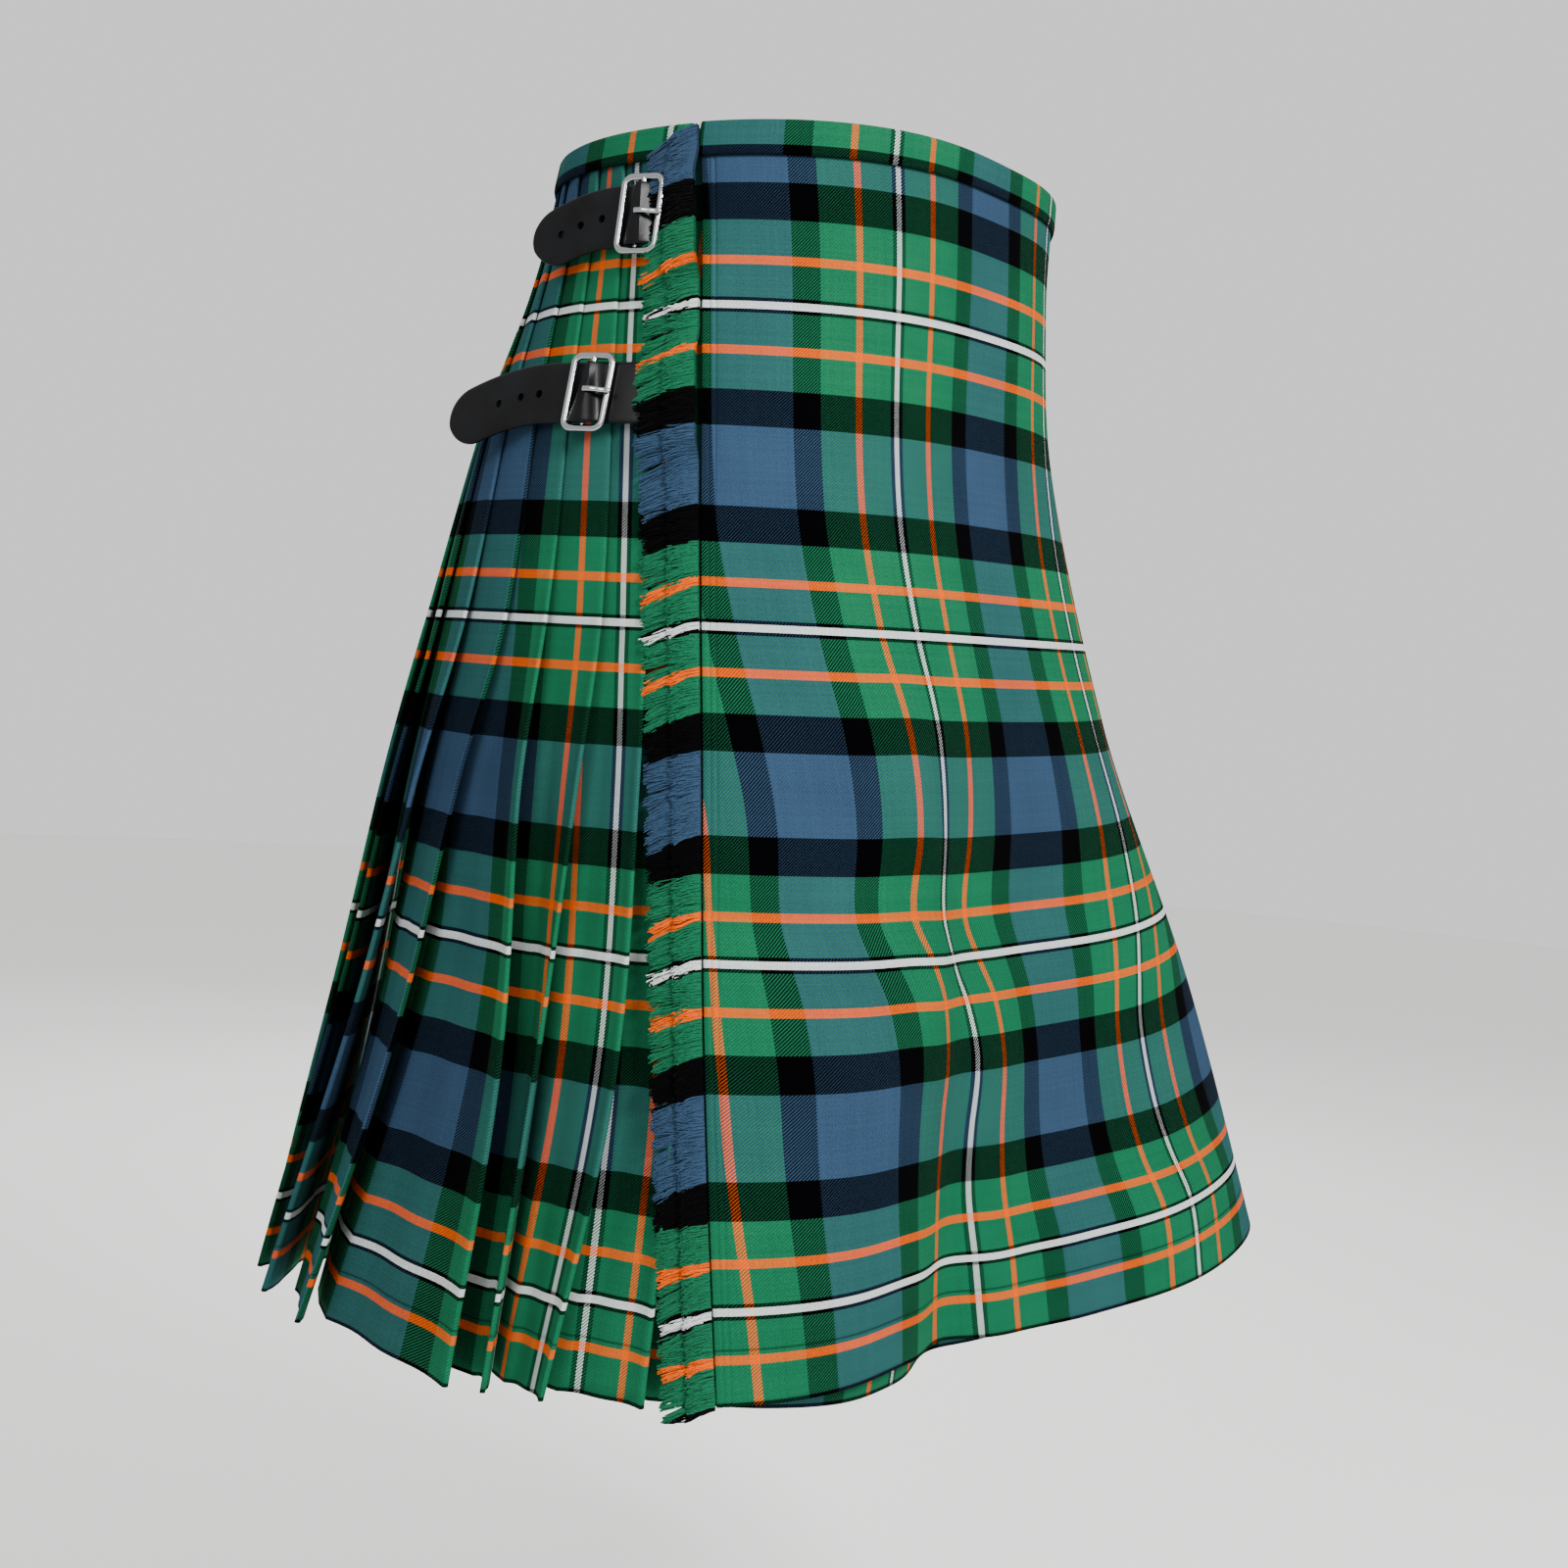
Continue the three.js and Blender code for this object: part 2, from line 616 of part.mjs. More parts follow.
add('waistband_pleats', waistband(pleatsFrom, pleatsTo, 28, bandFront, behindPleats), greenCloth);
const underFrom = 70;
const underTo = UNDER_APRON_LEFT + 1;
const underFront = (turn) => underApronLift(turn, 0) + BAND_LIFT.underOuter;
const underBack = (turn) => underApronLift(turn, 0) + BAND_LIFT.underInner;
add('waistband_under_apron', waistband(underFrom, underTo, 18, underFront, underBack), greenCloth);
add('fringe_under', fringe(FRINGE_WIDTH.under, LIFT.fringeUnder), greenCloth);
add('fringe_edge', fringe(FRINGE_WIDTH.edge, LIFT.fringeEdge), greenCloth);
for (const strap of STRAPS) {
  add(`strap_${strap.name}`, strapLeather(strap), leather);
  add(`buckle_tab_${strap.name}`, buckleTab(strap), leather);
  add(`buckle_frame_${strap.name}`, buckleFrame(strap), nickel);
  add(`buckle_prong_${strap.name}`, buckleProng(strap), nickel);
}

export default kilt;
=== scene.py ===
"""A worn Scottish kilt, wrapped from the left hip over the front and fastened on the right.

The script follows the maker's order: the over-apron, the pleats, the under-apron, the waistband,
the fringe, the straps and buckles, and last the studio. Cloth is worked out in millimetres and put
into its mesh in metres.
"""

import bmesh
import bpy
import numpy as np
from mathutils import Matrix, Vector


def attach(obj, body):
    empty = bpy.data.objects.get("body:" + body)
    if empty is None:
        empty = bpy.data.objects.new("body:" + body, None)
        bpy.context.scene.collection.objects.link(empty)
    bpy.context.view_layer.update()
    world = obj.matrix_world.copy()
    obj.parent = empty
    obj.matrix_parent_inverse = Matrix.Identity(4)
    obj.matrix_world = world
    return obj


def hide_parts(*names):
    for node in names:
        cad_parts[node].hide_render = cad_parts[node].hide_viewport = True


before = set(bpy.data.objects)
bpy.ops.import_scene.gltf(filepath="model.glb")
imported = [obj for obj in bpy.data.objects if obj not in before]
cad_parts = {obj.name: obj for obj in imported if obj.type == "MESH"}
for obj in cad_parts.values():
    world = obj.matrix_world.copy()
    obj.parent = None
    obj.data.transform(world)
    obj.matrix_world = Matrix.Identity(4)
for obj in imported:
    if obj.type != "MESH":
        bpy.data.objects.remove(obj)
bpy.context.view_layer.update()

# ---------------------------------------------------------------------------------------------
# Over-apron. The outer front panel: one flat width of worsted wool tartan, folded under along its
# left edge and fringed along its right one. It hangs from the waist and falls in soft folds over
# the thighs, so its form is the wearer's: a reach from the waist's axis in eight directions.
# ---------------------------------------------------------------------------------------------
LENGTH = 610.0
TOP = 2.0
BACK_DIP = 14.0
CLOTH = 0.9
FORM_DOWN = [0, 60, 150, 300, 450, 610]
FORM = {
    "front": [110, 111, 117, 148, 163, 165],
    "front_right": [133, 133, 142, 178, 203, 210],
    "right": [145, 152, 170, 202, 228, 254],
    "back_right": [139, 150, 175, 206, 232, 262],
    "back": [118, 130, 152, 182, 214, 255],
    "back_left": [139, 150, 176, 212, 245, 285],
    "left": [146, 152, 167, 212, 262, 312],
    "front_left": [133, 134, 145, 190, 248, 300],
}
# Drape folds: from and to turn, top and bottom of the fold, its width in degrees, its height.
DRAPE = [
    dict(from_turn=38, to_turn=26, top=250, bottom=480, width=6, lift=7),
    dict(from_turn=24, to_turn=14, top=330, bottom=640, width=7, lift=-6),
    dict(from_turn=10, to_turn=2, top=360, bottom=640, width=8, lift=6),
    dict(from_turn=-14, to_turn=-22, top=380, bottom=640, width=8, lift=-7),
    dict(from_turn=-38, to_turn=-46, top=300, bottom=640, width=9, lift=7),
]
# Turn of the fringed edge. It was solved for by a separate program and rounded, not chosen by hand.
EDGE_DOWN = [0, 150, 300, 450, 610]
EDGE_TURN = [81.4, 74.4, 67.8, 63.2, 58.6]
LEFT_EDGE_TURN = 275.0


def along(rows, values, down):
    """Value at a distance down: a cubic between rows, sloped at a row like its two neighbours."""
    rows, values, down = np.asarray(rows, float), np.asarray(values, float), np.asarray(down, float)
    last = len(rows) - 1
    row = np.clip(np.searchsorted(rows, down, side="left") - 1, 0, last - 1)
    before, after = np.maximum(row - 1, 0), np.minimum(row + 2, last)
    span = rows[row + 1] - rows[row]
    a, b = values[row], values[row + 1]
    near = (b - values[before]) / (rows[row + 1] - rows[before]) * span
    far = (values[after] - a) / (rows[after] - rows[row]) * span
    t = (down - rows[row]) / span
    return a + t * near + t**2 * (3 * (b - a) - 2 * near - far) + t**3 * (near + far - 2 * (b - a))


def smoothstep(value, low, high):
    """0 below low, 1 above high, and an S curve between."""
    t = np.clip((value - low) / (high - low), 0, 1)
    return t * t * (3 - 2 * t)


def drape(turn, down):
    """Sum of the folds: each a bell across its own leaning line, fading in and, if it ends, out."""
    across = (turn + 180) % 360 - 180
    lift = 0 * (across + down)
    for fold in DRAPE:
        t = np.clip((down - fold["top"]) / (fold["bottom"] - fold["top"]), 0, 1)
        centre = fold["from_turn"] + (fold["to_turn"] - fold["from_turn"]) * t
        grown = np.sin(t * np.pi / 2) if fold["bottom"] > LENGTH else np.sin(t * np.pi)
        lift = lift + fold["lift"] * grown * np.exp(-(((across - centre) / fold["width"]) ** 2))
    return lift


def reach(turn, down):
    """Distance from the waist's axis: the eight directions' values joined by one smooth wave."""
    total = 0
    for index, values in enumerate(FORM.values()):
        angle = np.radians(turn - 45 * index)
        half = np.tan(angle / 2)
        safe = np.where(np.abs(half) < 1e-9, 1, half)
        weight = np.where(np.abs(half) < 1e-9, 1, np.sin(4 * angle) / (8 * safe))
        total = total + weight * along(FORM_DOWN, values, down)
    return total + drape(turn, down)


def height(turn, down, steps=60):
    """Fall of the cloth: each step down its length loses height where the reach changes."""
    z = -BACK_DIP * (1 - np.cos(np.radians(turn))) / 2 + 0 * down
    step = down / steps
    before = reach(turn, 0 * down)
    for index in range(1, steps + 1):
        here = reach(turn, index * step)
        z = z - np.sqrt(np.maximum(step**2 - (here - before) ** 2, 0))
        before = here
    return z


def place(turn, down, lift=0.0):
    """Points on the cloth: turn from the front towards the right, moved outward by a lift."""
    turn, down, lift = np.broadcast_arrays(*(np.asarray(v, float) for v in (turn, down, lift)))
    distance = reach(turn, down) + lift
    angle = np.radians(turn)
    return np.stack([-distance * np.sin(angle), -distance * np.cos(angle), height(turn, down)], -1)


def grid_faces(rows, columns, closed=False):
    """Quads of a grid of points, joined round its columns if closed."""
    wide = columns if closed else columns - 1
    row, column = np.meshgrid(np.arange(rows - 1), np.arange(wide), indexing="ij")
    right = (column + 1) % columns
    here, below = row * columns, (row + 1) * columns
    corners = [here + column, below + column, below + right, here + right]
    return np.stack(corners, -1).reshape(-1, 4)


def make_mesh(name, points, faces, uv=None):
    """Mesh object from points in millimetres, faces, and a UV in metres for each point."""
    mesh = bpy.data.meshes.new(name)
    points = np.asarray(points, float).reshape(-1, 3)
    mesh.from_pydata((points * 0.001).tolist(), [], np.asarray(faces).tolist())
    if uv is not None:
        layer = mesh.uv_layers.new(name="cloth")
        corner = np.empty(len(mesh.loops), np.int32)
        mesh.loops.foreach_get("vertex_index", corner)
        layer.data.foreach_set("uv", (np.asarray(uv, float).reshape(-1, 2)[corner] * 0.001).ravel())
    mesh.polygons.foreach_set("use_smooth", np.ones(len(mesh.polygons), bool))
    mesh.update()
    piece = bpy.data.objects.new(name, mesh)
    bpy.context.scene.collection.objects.link(piece)
    return piece


def make_cloth(name, points, across, down, thickness=CLOTH):
    """Sheet of cloth on a grid of points, with its place in the tartan as UV and a real thickness."""
    rows, columns = points.shape[:2]
    uv = np.stack(np.broadcast_arrays(across, down), -1)
    piece = make_mesh(name, points, grid_faces(rows, columns), uv)
    solidify = piece.modifiers.new("cloth thickness", "SOLIDIFY")
    solidify.thickness = thickness * 0.001
    solidify.offset = 0
    return piece


def arc_length(points):
    """Distance run along each row of a grid of points."""
    steps = np.linalg.norm(np.diff(points, axis=1), axis=2)
    return np.concatenate([np.zeros((len(points), 1)), np.cumsum(steps, axis=1)], axis=1)


# Tartan, woven in a 2/2 twill of worsted wool. The warp and weft have the same order of colours,
# half a sett each: a white line with black guards, green with an orange line, black, and blue.
WARP_SETT = [
    ("white", 1.5),
    ("black", 3.7),
    ("green", 20.8),
    ("orange", 24.6),
    ("green", 43.2),
    ("black", 57.0),
    ("blue", 77.0),
]
WEFT_SETT = [
    ("white", 1.7),
    ("black", 3.6),
    ("green", 19.8),
    ("orange", 24.2),
    ("green", 41.4),
    ("black", 59.6),
    ("blue", 79.5),
]
YARN = {"white": "#b9bfbd", "black": "#010102", "green": "#165539", "orange": "#c84e00", "blue": "#273b50"}
# Share of a pick's width where a raised end shows: the black and the line yarns cover more.
WARP_SHOWS = {"white": 0.3, "black": 0.28, "green": 1.0, "orange": 0.5, "blue": 1.0}
FIRST_WHITE = 89.5
THREAD = 0.4
HEM_STITCH = 26.0


def linear(hex_colour):
    """Linear RGBA of an sRGB hex colour."""
    channels = np.array([int(hex_colour[i : i + 2], 16) / 255 for i in (1, 3, 5)])
    low, high = channels / 12.92, ((channels + 0.055) / 1.055) ** 2.4
    return (*np.where(channels <= 0.04045, low, high), 1.0)


def new_material(name):
    """Material with an empty node tree."""
    material = bpy.data.materials.new(name)
    material.use_nodes = True
    material.node_tree.nodes.clear()
    return material


def node(material, kind, links=(), outputs=0, **settings):
    """Add one node: settings are its properties, and links its inputs, as values or sockets."""
    added = material.node_tree.nodes.new(kind)
    for key, value in settings.items():
        setattr(added, key, value)
    for key, value in dict(links).items():
        if isinstance(value, bpy.types.NodeSocket):
            material.node_tree.links.new(value, added.inputs[key])
        else:
            added.inputs[key].default_value = value
    return added.outputs[outputs] if added.outputs else added


def mix_colours(material, factor, first, second, blend):
    """Blend of two colours."""
    links = {"Factor": factor, 6: first, 7: second}
    return node(material, "ShaderNodeMix", links, outputs=2, data_type="RGBA", blend_type=blend)


def wool_sheen(specular, sheen):
    """Shader inputs that every wool here shares: rough, with a little sheen."""
    return {
        "Roughness": 0.9,
        "Specular IOR Level": specular,
        "Sheen Weight": sheen,
        "Sheen Roughness": 0.4,
    }


def colour_steps(material, factor, stops):
    """Hard-edged bands along a factor, as a colour and a share; each stop is where its band ends."""
    ramp = material.node_tree.nodes.new("ShaderNodeValToRGB")
    ramp.color_ramp.interpolation = "CONSTANT"
    elements = ramp.color_ramp.elements
    while len(elements) > 1:
        elements.remove(elements[-1])
    start = 0.0
    for index, (yarn, end) in enumerate(stops):
        element = elements[0] if index == 0 else elements.new(start)
        element.position = start
        element.color = (*linear(YARN[yarn])[:3], WARP_SHOWS[yarn])
        start = end / stops[-1][1]
    material.node_tree.links.new(factor, ramp.inputs[0])
    return ramp.outputs


def sett(material, distance, stops):
    """Stripe colours along a distance in metres, mirrored at every half sett."""
    half = stops[-1][1] * 0.001
    folded = node(material, "ShaderNodeMath", {0: distance, 1: half}, operation="PINGPONG")
    share = node(material, "ShaderNodeMath", {0: folded, 1: half}, operation="DIVIDE")
    return colour_steps(material, share, stops)


def tartan(name, lean):
    """Worsted tartan: lean is 1 or -1, the way the twill's ribs run.

    Each crossing of two threads shows the warp or the weft by its place in a four-thread twill.
    """
    material = new_material(name)

    def maths(operation, first, second=0.0):
        return node(material, "ShaderNodeMath", {0: first, 1: second}, operation=operation)

    uv = node(material, "ShaderNodeUVMap", uv_map="cloth")
    split = material.node_tree.nodes.new("ShaderNodeSeparateXYZ")
    material.node_tree.links.new(uv, split.inputs[0])
    u, v = split.outputs[0], split.outputs[1]
    warp, _ = sett(material, u, WARP_SETT)
    weft, warp_shows = sett(material, maths("SUBTRACT", v, FIRST_WHITE * 0.001), WEFT_SETT)
    end = maths("MULTIPLY", u, 1000 / THREAD)
    pick = maths("MULTIPLY", v, 1000 / THREAD)
    order = maths("ADD", maths("FLOOR", end), maths("MULTIPLY", maths("FLOOR", pick), lean))
    in_twill = maths("FRACT", maths("MULTIPLY", order, 0.25))
    from_middle = maths("MULTIPLY", maths("ABSOLUTE", maths("SUBTRACT", maths("FRACT", pick), 0.5)), 2.0)
    rib = maths("LESS_THAN", in_twill, 0.5)
    warp_up = maths("MULTIPLY", rib, maths("LESS_THAN", from_middle, warp_shows))
    crossing = mix_colours(material, warp_up, weft, warp, "MIX")
    # Yarns differ a little in shade, and the cloth's nap is uneven.
    end_shade, pick_shade = [
        node(material, "ShaderNodeTexWhiteNoise", {"W": maths("FLOOR", thread)}, noise_dimensions="1D")
        for thread in (end, pick)
    ]
    spin = node(material, "ShaderNodeTexNoise", {"Vector": uv, "Scale": 900.0, "Detail": 3.0})
    nap = node(material, "ShaderNodeTexNoise", {"Vector": uv, "Scale": 22.0, "Detail": 2.0})
    shade = maths("ADD", maths("MULTIPLY", end_shade, 0.10), maths("MULTIPLY", pick_shade, 0.10))
    shade = maths("ADD", shade, maths("ADD", maths("MULTIPLY", spin, 0.55), maths("MULTIPLY", nap, 0.30)))
    shade = maths("ADD", shade, 0.27)
    # Painted highlight: the twill's ribs are made lighter in colour on their raised side, as if they
    # caught the light.
    shade = maths("ADD", shade, maths("MULTIPLY", rib, 0.26))
    # The turned-up hem's stitched line is a shallow groove in the bump, and painted shade darkens the
    # cloth's colour along it.
    from_hem_groove = maths("ABSOLUTE", maths("SUBTRACT", v, (LENGTH - HEM_STITCH) * 0.001))
    hem_groove_and_shade = maths("LESS_THAN", from_hem_groove, 0.0006)
    shade = maths("MULTIPLY", shade, maths("SUBTRACT", 1.0, maths("MULTIPLY", hem_groove_and_shade, 0.45)))
    tinted = mix_colours(material, 1.0, crossing, shade, "MULTIPLY")
    round_end = maths("SINE", maths("MULTIPLY", maths("FRACT", end), np.pi))
    round_pick = maths("SINE", maths("MULTIPLY", maths("FRACT", pick), np.pi))
    sides = {"Factor": warp_up, 2: round_pick, 3: round_end}
    relief = node(material, "ShaderNodeMix", sides, data_type="FLOAT")
    uneven = maths("ADD", maths("MULTIPLY", spin, 0.5), maths("MULTIPLY", hem_groove_and_shade, -3.0))
    relief = maths("ADD", relief, uneven)
    bump = node(material, "ShaderNodeBump", {"Strength": 0.35, "Distance": 0.00025, "Height": relief})
    finish = {"Base Color": tinted, "Normal": bump, **wool_sheen(specular=0.01, sheen=0.004)}
    shader = node(material, "ShaderNodeBsdfPrincipled", finish)
    node(material, "ShaderNodeOutputMaterial", {"Surface": shader})
    return material


def finish_piece(piece, material, slot, *nodes):
    """Give a piece its material, the root body and the CAD nodes that it stands for; slot is not used."""
    piece.data.materials.append(material)
    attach(piece, "root")
    if nodes:
        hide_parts(*nodes)
    return piece


body_tartan = tartan("worsted wool tartan, body", 1)
APRON_FOLD = 16.0
# The sett on the over-apron, by distance down: how much of the sett lies between the first white
# line and the fringed edge, where the edge's cut tapers; and how far from that edge, along the
# draped cloth, the first and second white lines lie. Below the hip the cloth pulls over the thigh.
# Both runs were solved for by a separate program and then smoothed by hand, and so was CUT_WHITE
# from 345 down.
CUT_DOWN = [0, 60, 185, 250, 300, 345, 450, 500, 567, 610]
CUT_WHITE = [99, 101, 103.5, 113, 123, 131.5, 137, 139.5, 145, 147]
PULL_DOWN = [0, 60, 185, 250, 300, 345, 385, 410, 430, 460, 500, 530, 567, 610]
FIRST_WHITE_RUN = [99, 101, 103, 114, 129, 133, 130, 149, 166, 178, 178, 180, 188, 196]
SECOND_WHITE_RUN = [254, 256, 258, 274, 296, 314, 320, 320, 317, 314, 322, 334, 354, 358]
SETT_WIDTH = 154.0
STITCH_ROWS = (3.5, 6.5)
STITCH_PULL, STITCH_SPREAD = 0.5, 0.7


def edge_turn(down):
    """Turn of the over-apron's fringed edge."""
    return along(EDGE_DOWN, EDGE_TURN, down)


down = np.linspace(TOP, LENGTH, 150)[:, None]
# Columns run from the tuck under the left edge, round that folded edge, to the fringed edge.
tuck = np.linspace(1, 0, 9)[None, :-1] ** 1.3
bend = np.linspace(-0.5, 0.5, 7)[None, :] * np.pi
face = np.concatenate([np.linspace(0, 0.97, 145)[1:], np.linspace(0.97, 1, 30)[1:]])[None, :]
BEND_RADIUS = 0.65
bend_degrees = np.degrees(BEND_RADIUS / reach(np.full_like(down, LEFT_EDGE_TURN), down))
apron_turn = np.concatenate(
    [
        LEFT_EDGE_TURN + bend_degrees + APRON_FOLD * tuck,
        LEFT_EDGE_TURN + bend_degrees * (1 - np.cos(bend)),
        LEFT_EDGE_TURN + bend_degrees + (360 + edge_turn(down) - LEFT_EDGE_TURN - bend_degrees) * face,
    ],
    axis=1,
)
apron_lift = np.concatenate(
    [
        -2 * BEND_RADIUS - 2.2 * tuck + 0 * down,
        BEND_RADIUS * (np.sin(bend) - 1) + 0 * down,
        0 * face + 0 * down,
    ],
    axis=1,
)
# Two rows of stitches run down beside the fringed edge, each pulled a little into the cloth.
seam_distance = np.radians(apron_turn[:, -1:] - apron_turn) * reach(apron_turn, down)
for row_of_stitches in STITCH_ROWS:
    from_row = (seam_distance - row_of_stitches) / STITCH_SPREAD
    apron_lift = apron_lift - STITCH_PULL * np.exp(-(from_row**2))
apron_points = place(apron_turn, down, apron_lift)
apron_run = arc_length(apron_points)
from_edge = apron_run[:, -1:] - apron_run
at_edge = -along(CUT_DOWN, CUT_WHITE, down)
first = along(PULL_DOWN, FIRST_WHITE_RUN, down)
second = along(PULL_DOWN, SECOND_WHITE_RUN, down)
from_white = np.where(
    from_edge < first,
    at_edge * (1 - from_edge / first),
    np.where(
        from_edge < second,
        SETT_WIDTH * (from_edge - first) / (second - first),
        SETT_WIDTH + from_edge - second,
    ),
)
over_apron = make_cloth("over_apron_cloth", apron_points, from_white, down)
finish_piece(over_apron, body_tartan, "tartan", "over_apron")

# ---------------------------------------------------------------------------------------------
# Knife pleats. The same cloth, pleated to the sett round the hips and back and stitched down to
# the fell; each has a face, a pressed fold edge towards the wearer's right, and a tucked return.
# Below the fell the folds spring open, each by its own amount.
# ---------------------------------------------------------------------------------------------
PLEATS = 26
LAYER = 1.3
# Turn of the first seven fold edges. Rows b, c and d from 240 down, e and f at 240 to 460, and a at
# 460 and 610 were solved for by a separate program and rounded; e and f at 610 were then changed.
FOLD_DOWN = [0, 240, 330, 460, 610]
FOLD_TURN = {
    "a": [84.5, 72, 68.5, 66, 66.4],
    "b": [92, 78.5, 75.1, 73.1, 76.9],
    "c": [99.5, 85.3, 83.3, 82.6, 83.2],
    "d": [107, 94, 91.1, 87, 87.2],
    "e": [114.3, 101.7, 102.9, 105.7, 113],
    "f": [121.6, 110.8, 112, 116.2, 124.5],
    "g": [129, 119.5, 120.5, 124, 134],
}
PLEATING_DOWN = [0, 100, 200, 330, 460, 610]
STEP = [2.6, 2.6, 2.8, 5.5, 9, 12]
TUCK = [1.1, 2, 2, 2, 2, 2]
PLEAT_REPEAT = 23.3
FIRST_FOLD_IN_SETT = 37.0
FELL = 190.0
OPENING = 160.0


def fold_turn(number, down):
    """Turn of a fold edge: between the first seven by their table, then shared evenly to the left."""
    shown = len(FOLD_TURN) - 1
    near = np.minimum(number, shown)
    turn = 0
    for index, values in enumerate(FOLD_TURN.values()):
        turn = turn + np.clip(1 - np.abs(near - index), 0, 1) * along(FOLD_DOWN, values, down)
    last = along(FOLD_DOWN, FOLD_TURN["g"], down)
    return turn + (LEFT_EDGE_TURN - last) * np.maximum(number - shown, 0) / (PLEATS - shown)


def pleat_grid(number, spring, hollow, down):
    """Turn, lift and fold column of one pleat: its return, fold edge, face and tucked end.

    Places along it are counted in folds; the return lies one layer under the face, and a sprung
    fold edge stands out from the body, and the face behind it sinks into a soft hollow.
    """
    step = along(PLEATING_DOWN, STEP, down)
    deep = along(PLEATING_DOWN, TUCK, down)
    back = np.linspace(1, 0, 8)[None, :-1] ** 1.5 * deep
    face = np.linspace(0, 1, 13)[None, 1:] + 0 * down
    front = np.concatenate([face, 1 + np.linspace(0, 1, 5)[None, 1:] * deep], 1)
    around = np.linspace(-0.5, 0.5, 7)[None, :] * np.pi
    edge = fold_turn(number, down)
    radius = BEND_RADIUS * (1 + 0.8 * smoothstep(down, FELL, LENGTH))
    degrees = np.degrees(radius / reach(edge, down))
    turns = [fold_turn(number + q, down) + degrees * np.exp(-8 * q) for q in (back, front)]
    turn = np.concatenate([turns[0], edge + degrees * (1 - np.cos(around)), turns[1]], 1)
    lift_back = -LAYER - (radius - BEND_RADIUS) * 2 - step * back
    lift_front = -step * front
    lift = np.concatenate([lift_back, -radius + radius * np.sin(around) + 0 * down, lift_front], 1)
    places = np.concatenate([back, 0 * around + 0 * down, front], 1)
    opened = smoothstep(down, FELL, FELL + OPENING)
    lift = lift + spring * opened * np.clip(1 - places, 0, 1) ** 1.5
    across = np.clip(places, 0, 1)
    lift = lift - hollow * step * opened * (np.sin(np.pi * across) + 0.25 * np.sin(3 * np.pi * across))
    return turn, lift, back.shape[1] + 3


random = np.random.default_rng(7)
# How far the shown fold edges stand out and their faces sink in; the others have their own amount.
SPRING = {1: 4.0, 2: 6.0, 3: 9.0, 4: 4.0, 5: 5.0, 6: 4.0, 7: 3.0}
HOLLOW = {0: 0.35, 1: 0.35, 2: 0.45, 3: 0.6, 4: 0.3, 5: 0.2, 6: 0.15, 7: 0.15}
WIDEST_FACE = 62.0
pleat_down = np.linspace(TOP, LENGTH, 90)[:, None]
for number in range(PLEATS):
    spring = SPRING.get(number, random.uniform(0.5, 3.5))
    hollow = HOLLOW.get(number, random.uniform(0.15, 0.55))
    turn, lift, fold_column = pleat_grid(number, spring, hollow, pleat_down)
    points = place(turn, pleat_down, lift)
    run = arc_length(points)
    fold_reach = reach(turn[:, fold_column : fold_column + 1], pleat_down)
    pitch = np.radians(fold_turn(number + 1, pleat_down) - fold_turn(number, pleat_down)) * fold_reach
    taper = np.maximum(PLEAT_REPEAT - pitch, 0) / 2
    eased = np.minimum(1, WIDEST_FACE / pitch)
    from_fold = (run - run[:, fold_column : fold_column + 1]) * eased
    in_sett = FIRST_FOLD_IN_SETT - PLEAT_REPEAT * number - taper - from_fold
    pleat = make_cloth(f"pleat_cloth_{number + 1:02d}", points, in_sett, pleat_down)
    finish_piece(pleat, body_tartan, "tartan", f"pleat_{number + 1:02d}")

# ---------------------------------------------------------------------------------------------
# Under-apron. The inner front panel: the same cloth runs on from the last pleat and wraps under
# the over-apron to the wearer's left. Its hem shows where the over-apron rides up over the thigh.
# ---------------------------------------------------------------------------------------------
UNDER_LIFT_DOWN = [0, 300, 610]
UNDER_LIFT = [-6, -6.5, -9]
UNDER_LEFT_TURN = -60.0
UNDER_IN_SETT = 60.0
UNDER_SINK = [0, 0, 13]
SINK_TURN, SINK_WIDTH = 30.0, 24.0


def under_lift(turn, down):
    """Place of the under-apron inside the over-apron: it leaves the last tuck and settles."""
    settled = along(UNDER_LIFT_DOWN, UNDER_LIFT, down)
    tucked = -along(PLEATING_DOWN, STEP, down) - 1
    return tucked + (settled - tucked) * smoothstep(fold_turn(0, down) - turn, 0, 14)


under_down = np.linspace(TOP, LENGTH, 100)[:, None]
tucked_places = np.linspace(1, 0, 7)[None, :-1] * along(PLEATING_DOWN, TUCK, under_down)
under_step = along(PLEATING_DOWN, STEP, under_down)
front_share = np.linspace(0, 1, 110)[None, :]
first_turn = fold_turn(0, under_down)
front_turn = first_turn + (UNDER_LEFT_TURN - first_turn) * front_share
under_turn = np.concatenate([fold_turn(tucked_places, under_down), front_turn], 1)
tucked_lift = -under_step * (1 + tucked_places) - 1
under_lifts = np.concatenate([tucked_lift, under_lift(front_turn, under_down)], 1)
under_points = place(under_turn, under_down, under_lifts)
sink = along(UNDER_LIFT_DOWN, UNDER_SINK, np.maximum(under_down, 300))
under_points[..., 2] -= sink * np.exp(-(((under_turn - SINK_TURN) / SINK_WIDTH) ** 2))
under_run = arc_length(under_points)
under_apron = make_cloth("under_apron_cloth", under_points, UNDER_IN_SETT - under_run, under_down)
finish_piece(under_apron, body_tartan, "tartan", "under_apron")

# ---------------------------------------------------------------------------------------------
# Waistband. A strip of the same tartan folded over the raw top edge, an outer and an inner leaf,
# sewn all round: over the over-apron, over the pleats, and over the under-apron inside. It is cut
# so that green shows, with a black stripe at its lower seam.
# ---------------------------------------------------------------------------------------------
BAND_HEIGHT = 17.0
BAND_IN_WEFT = 29.6
BAND_TOP = 2.5
BAND_OUTER, BEHIND_APRON, BEHIND_PLEATS = 1.9, -1.6, -7.2
UNDER_OUTER, UNDER_INNER = 1.5, 1.9
band_tartan = tartan("worsted wool tartan, waistband", -1)


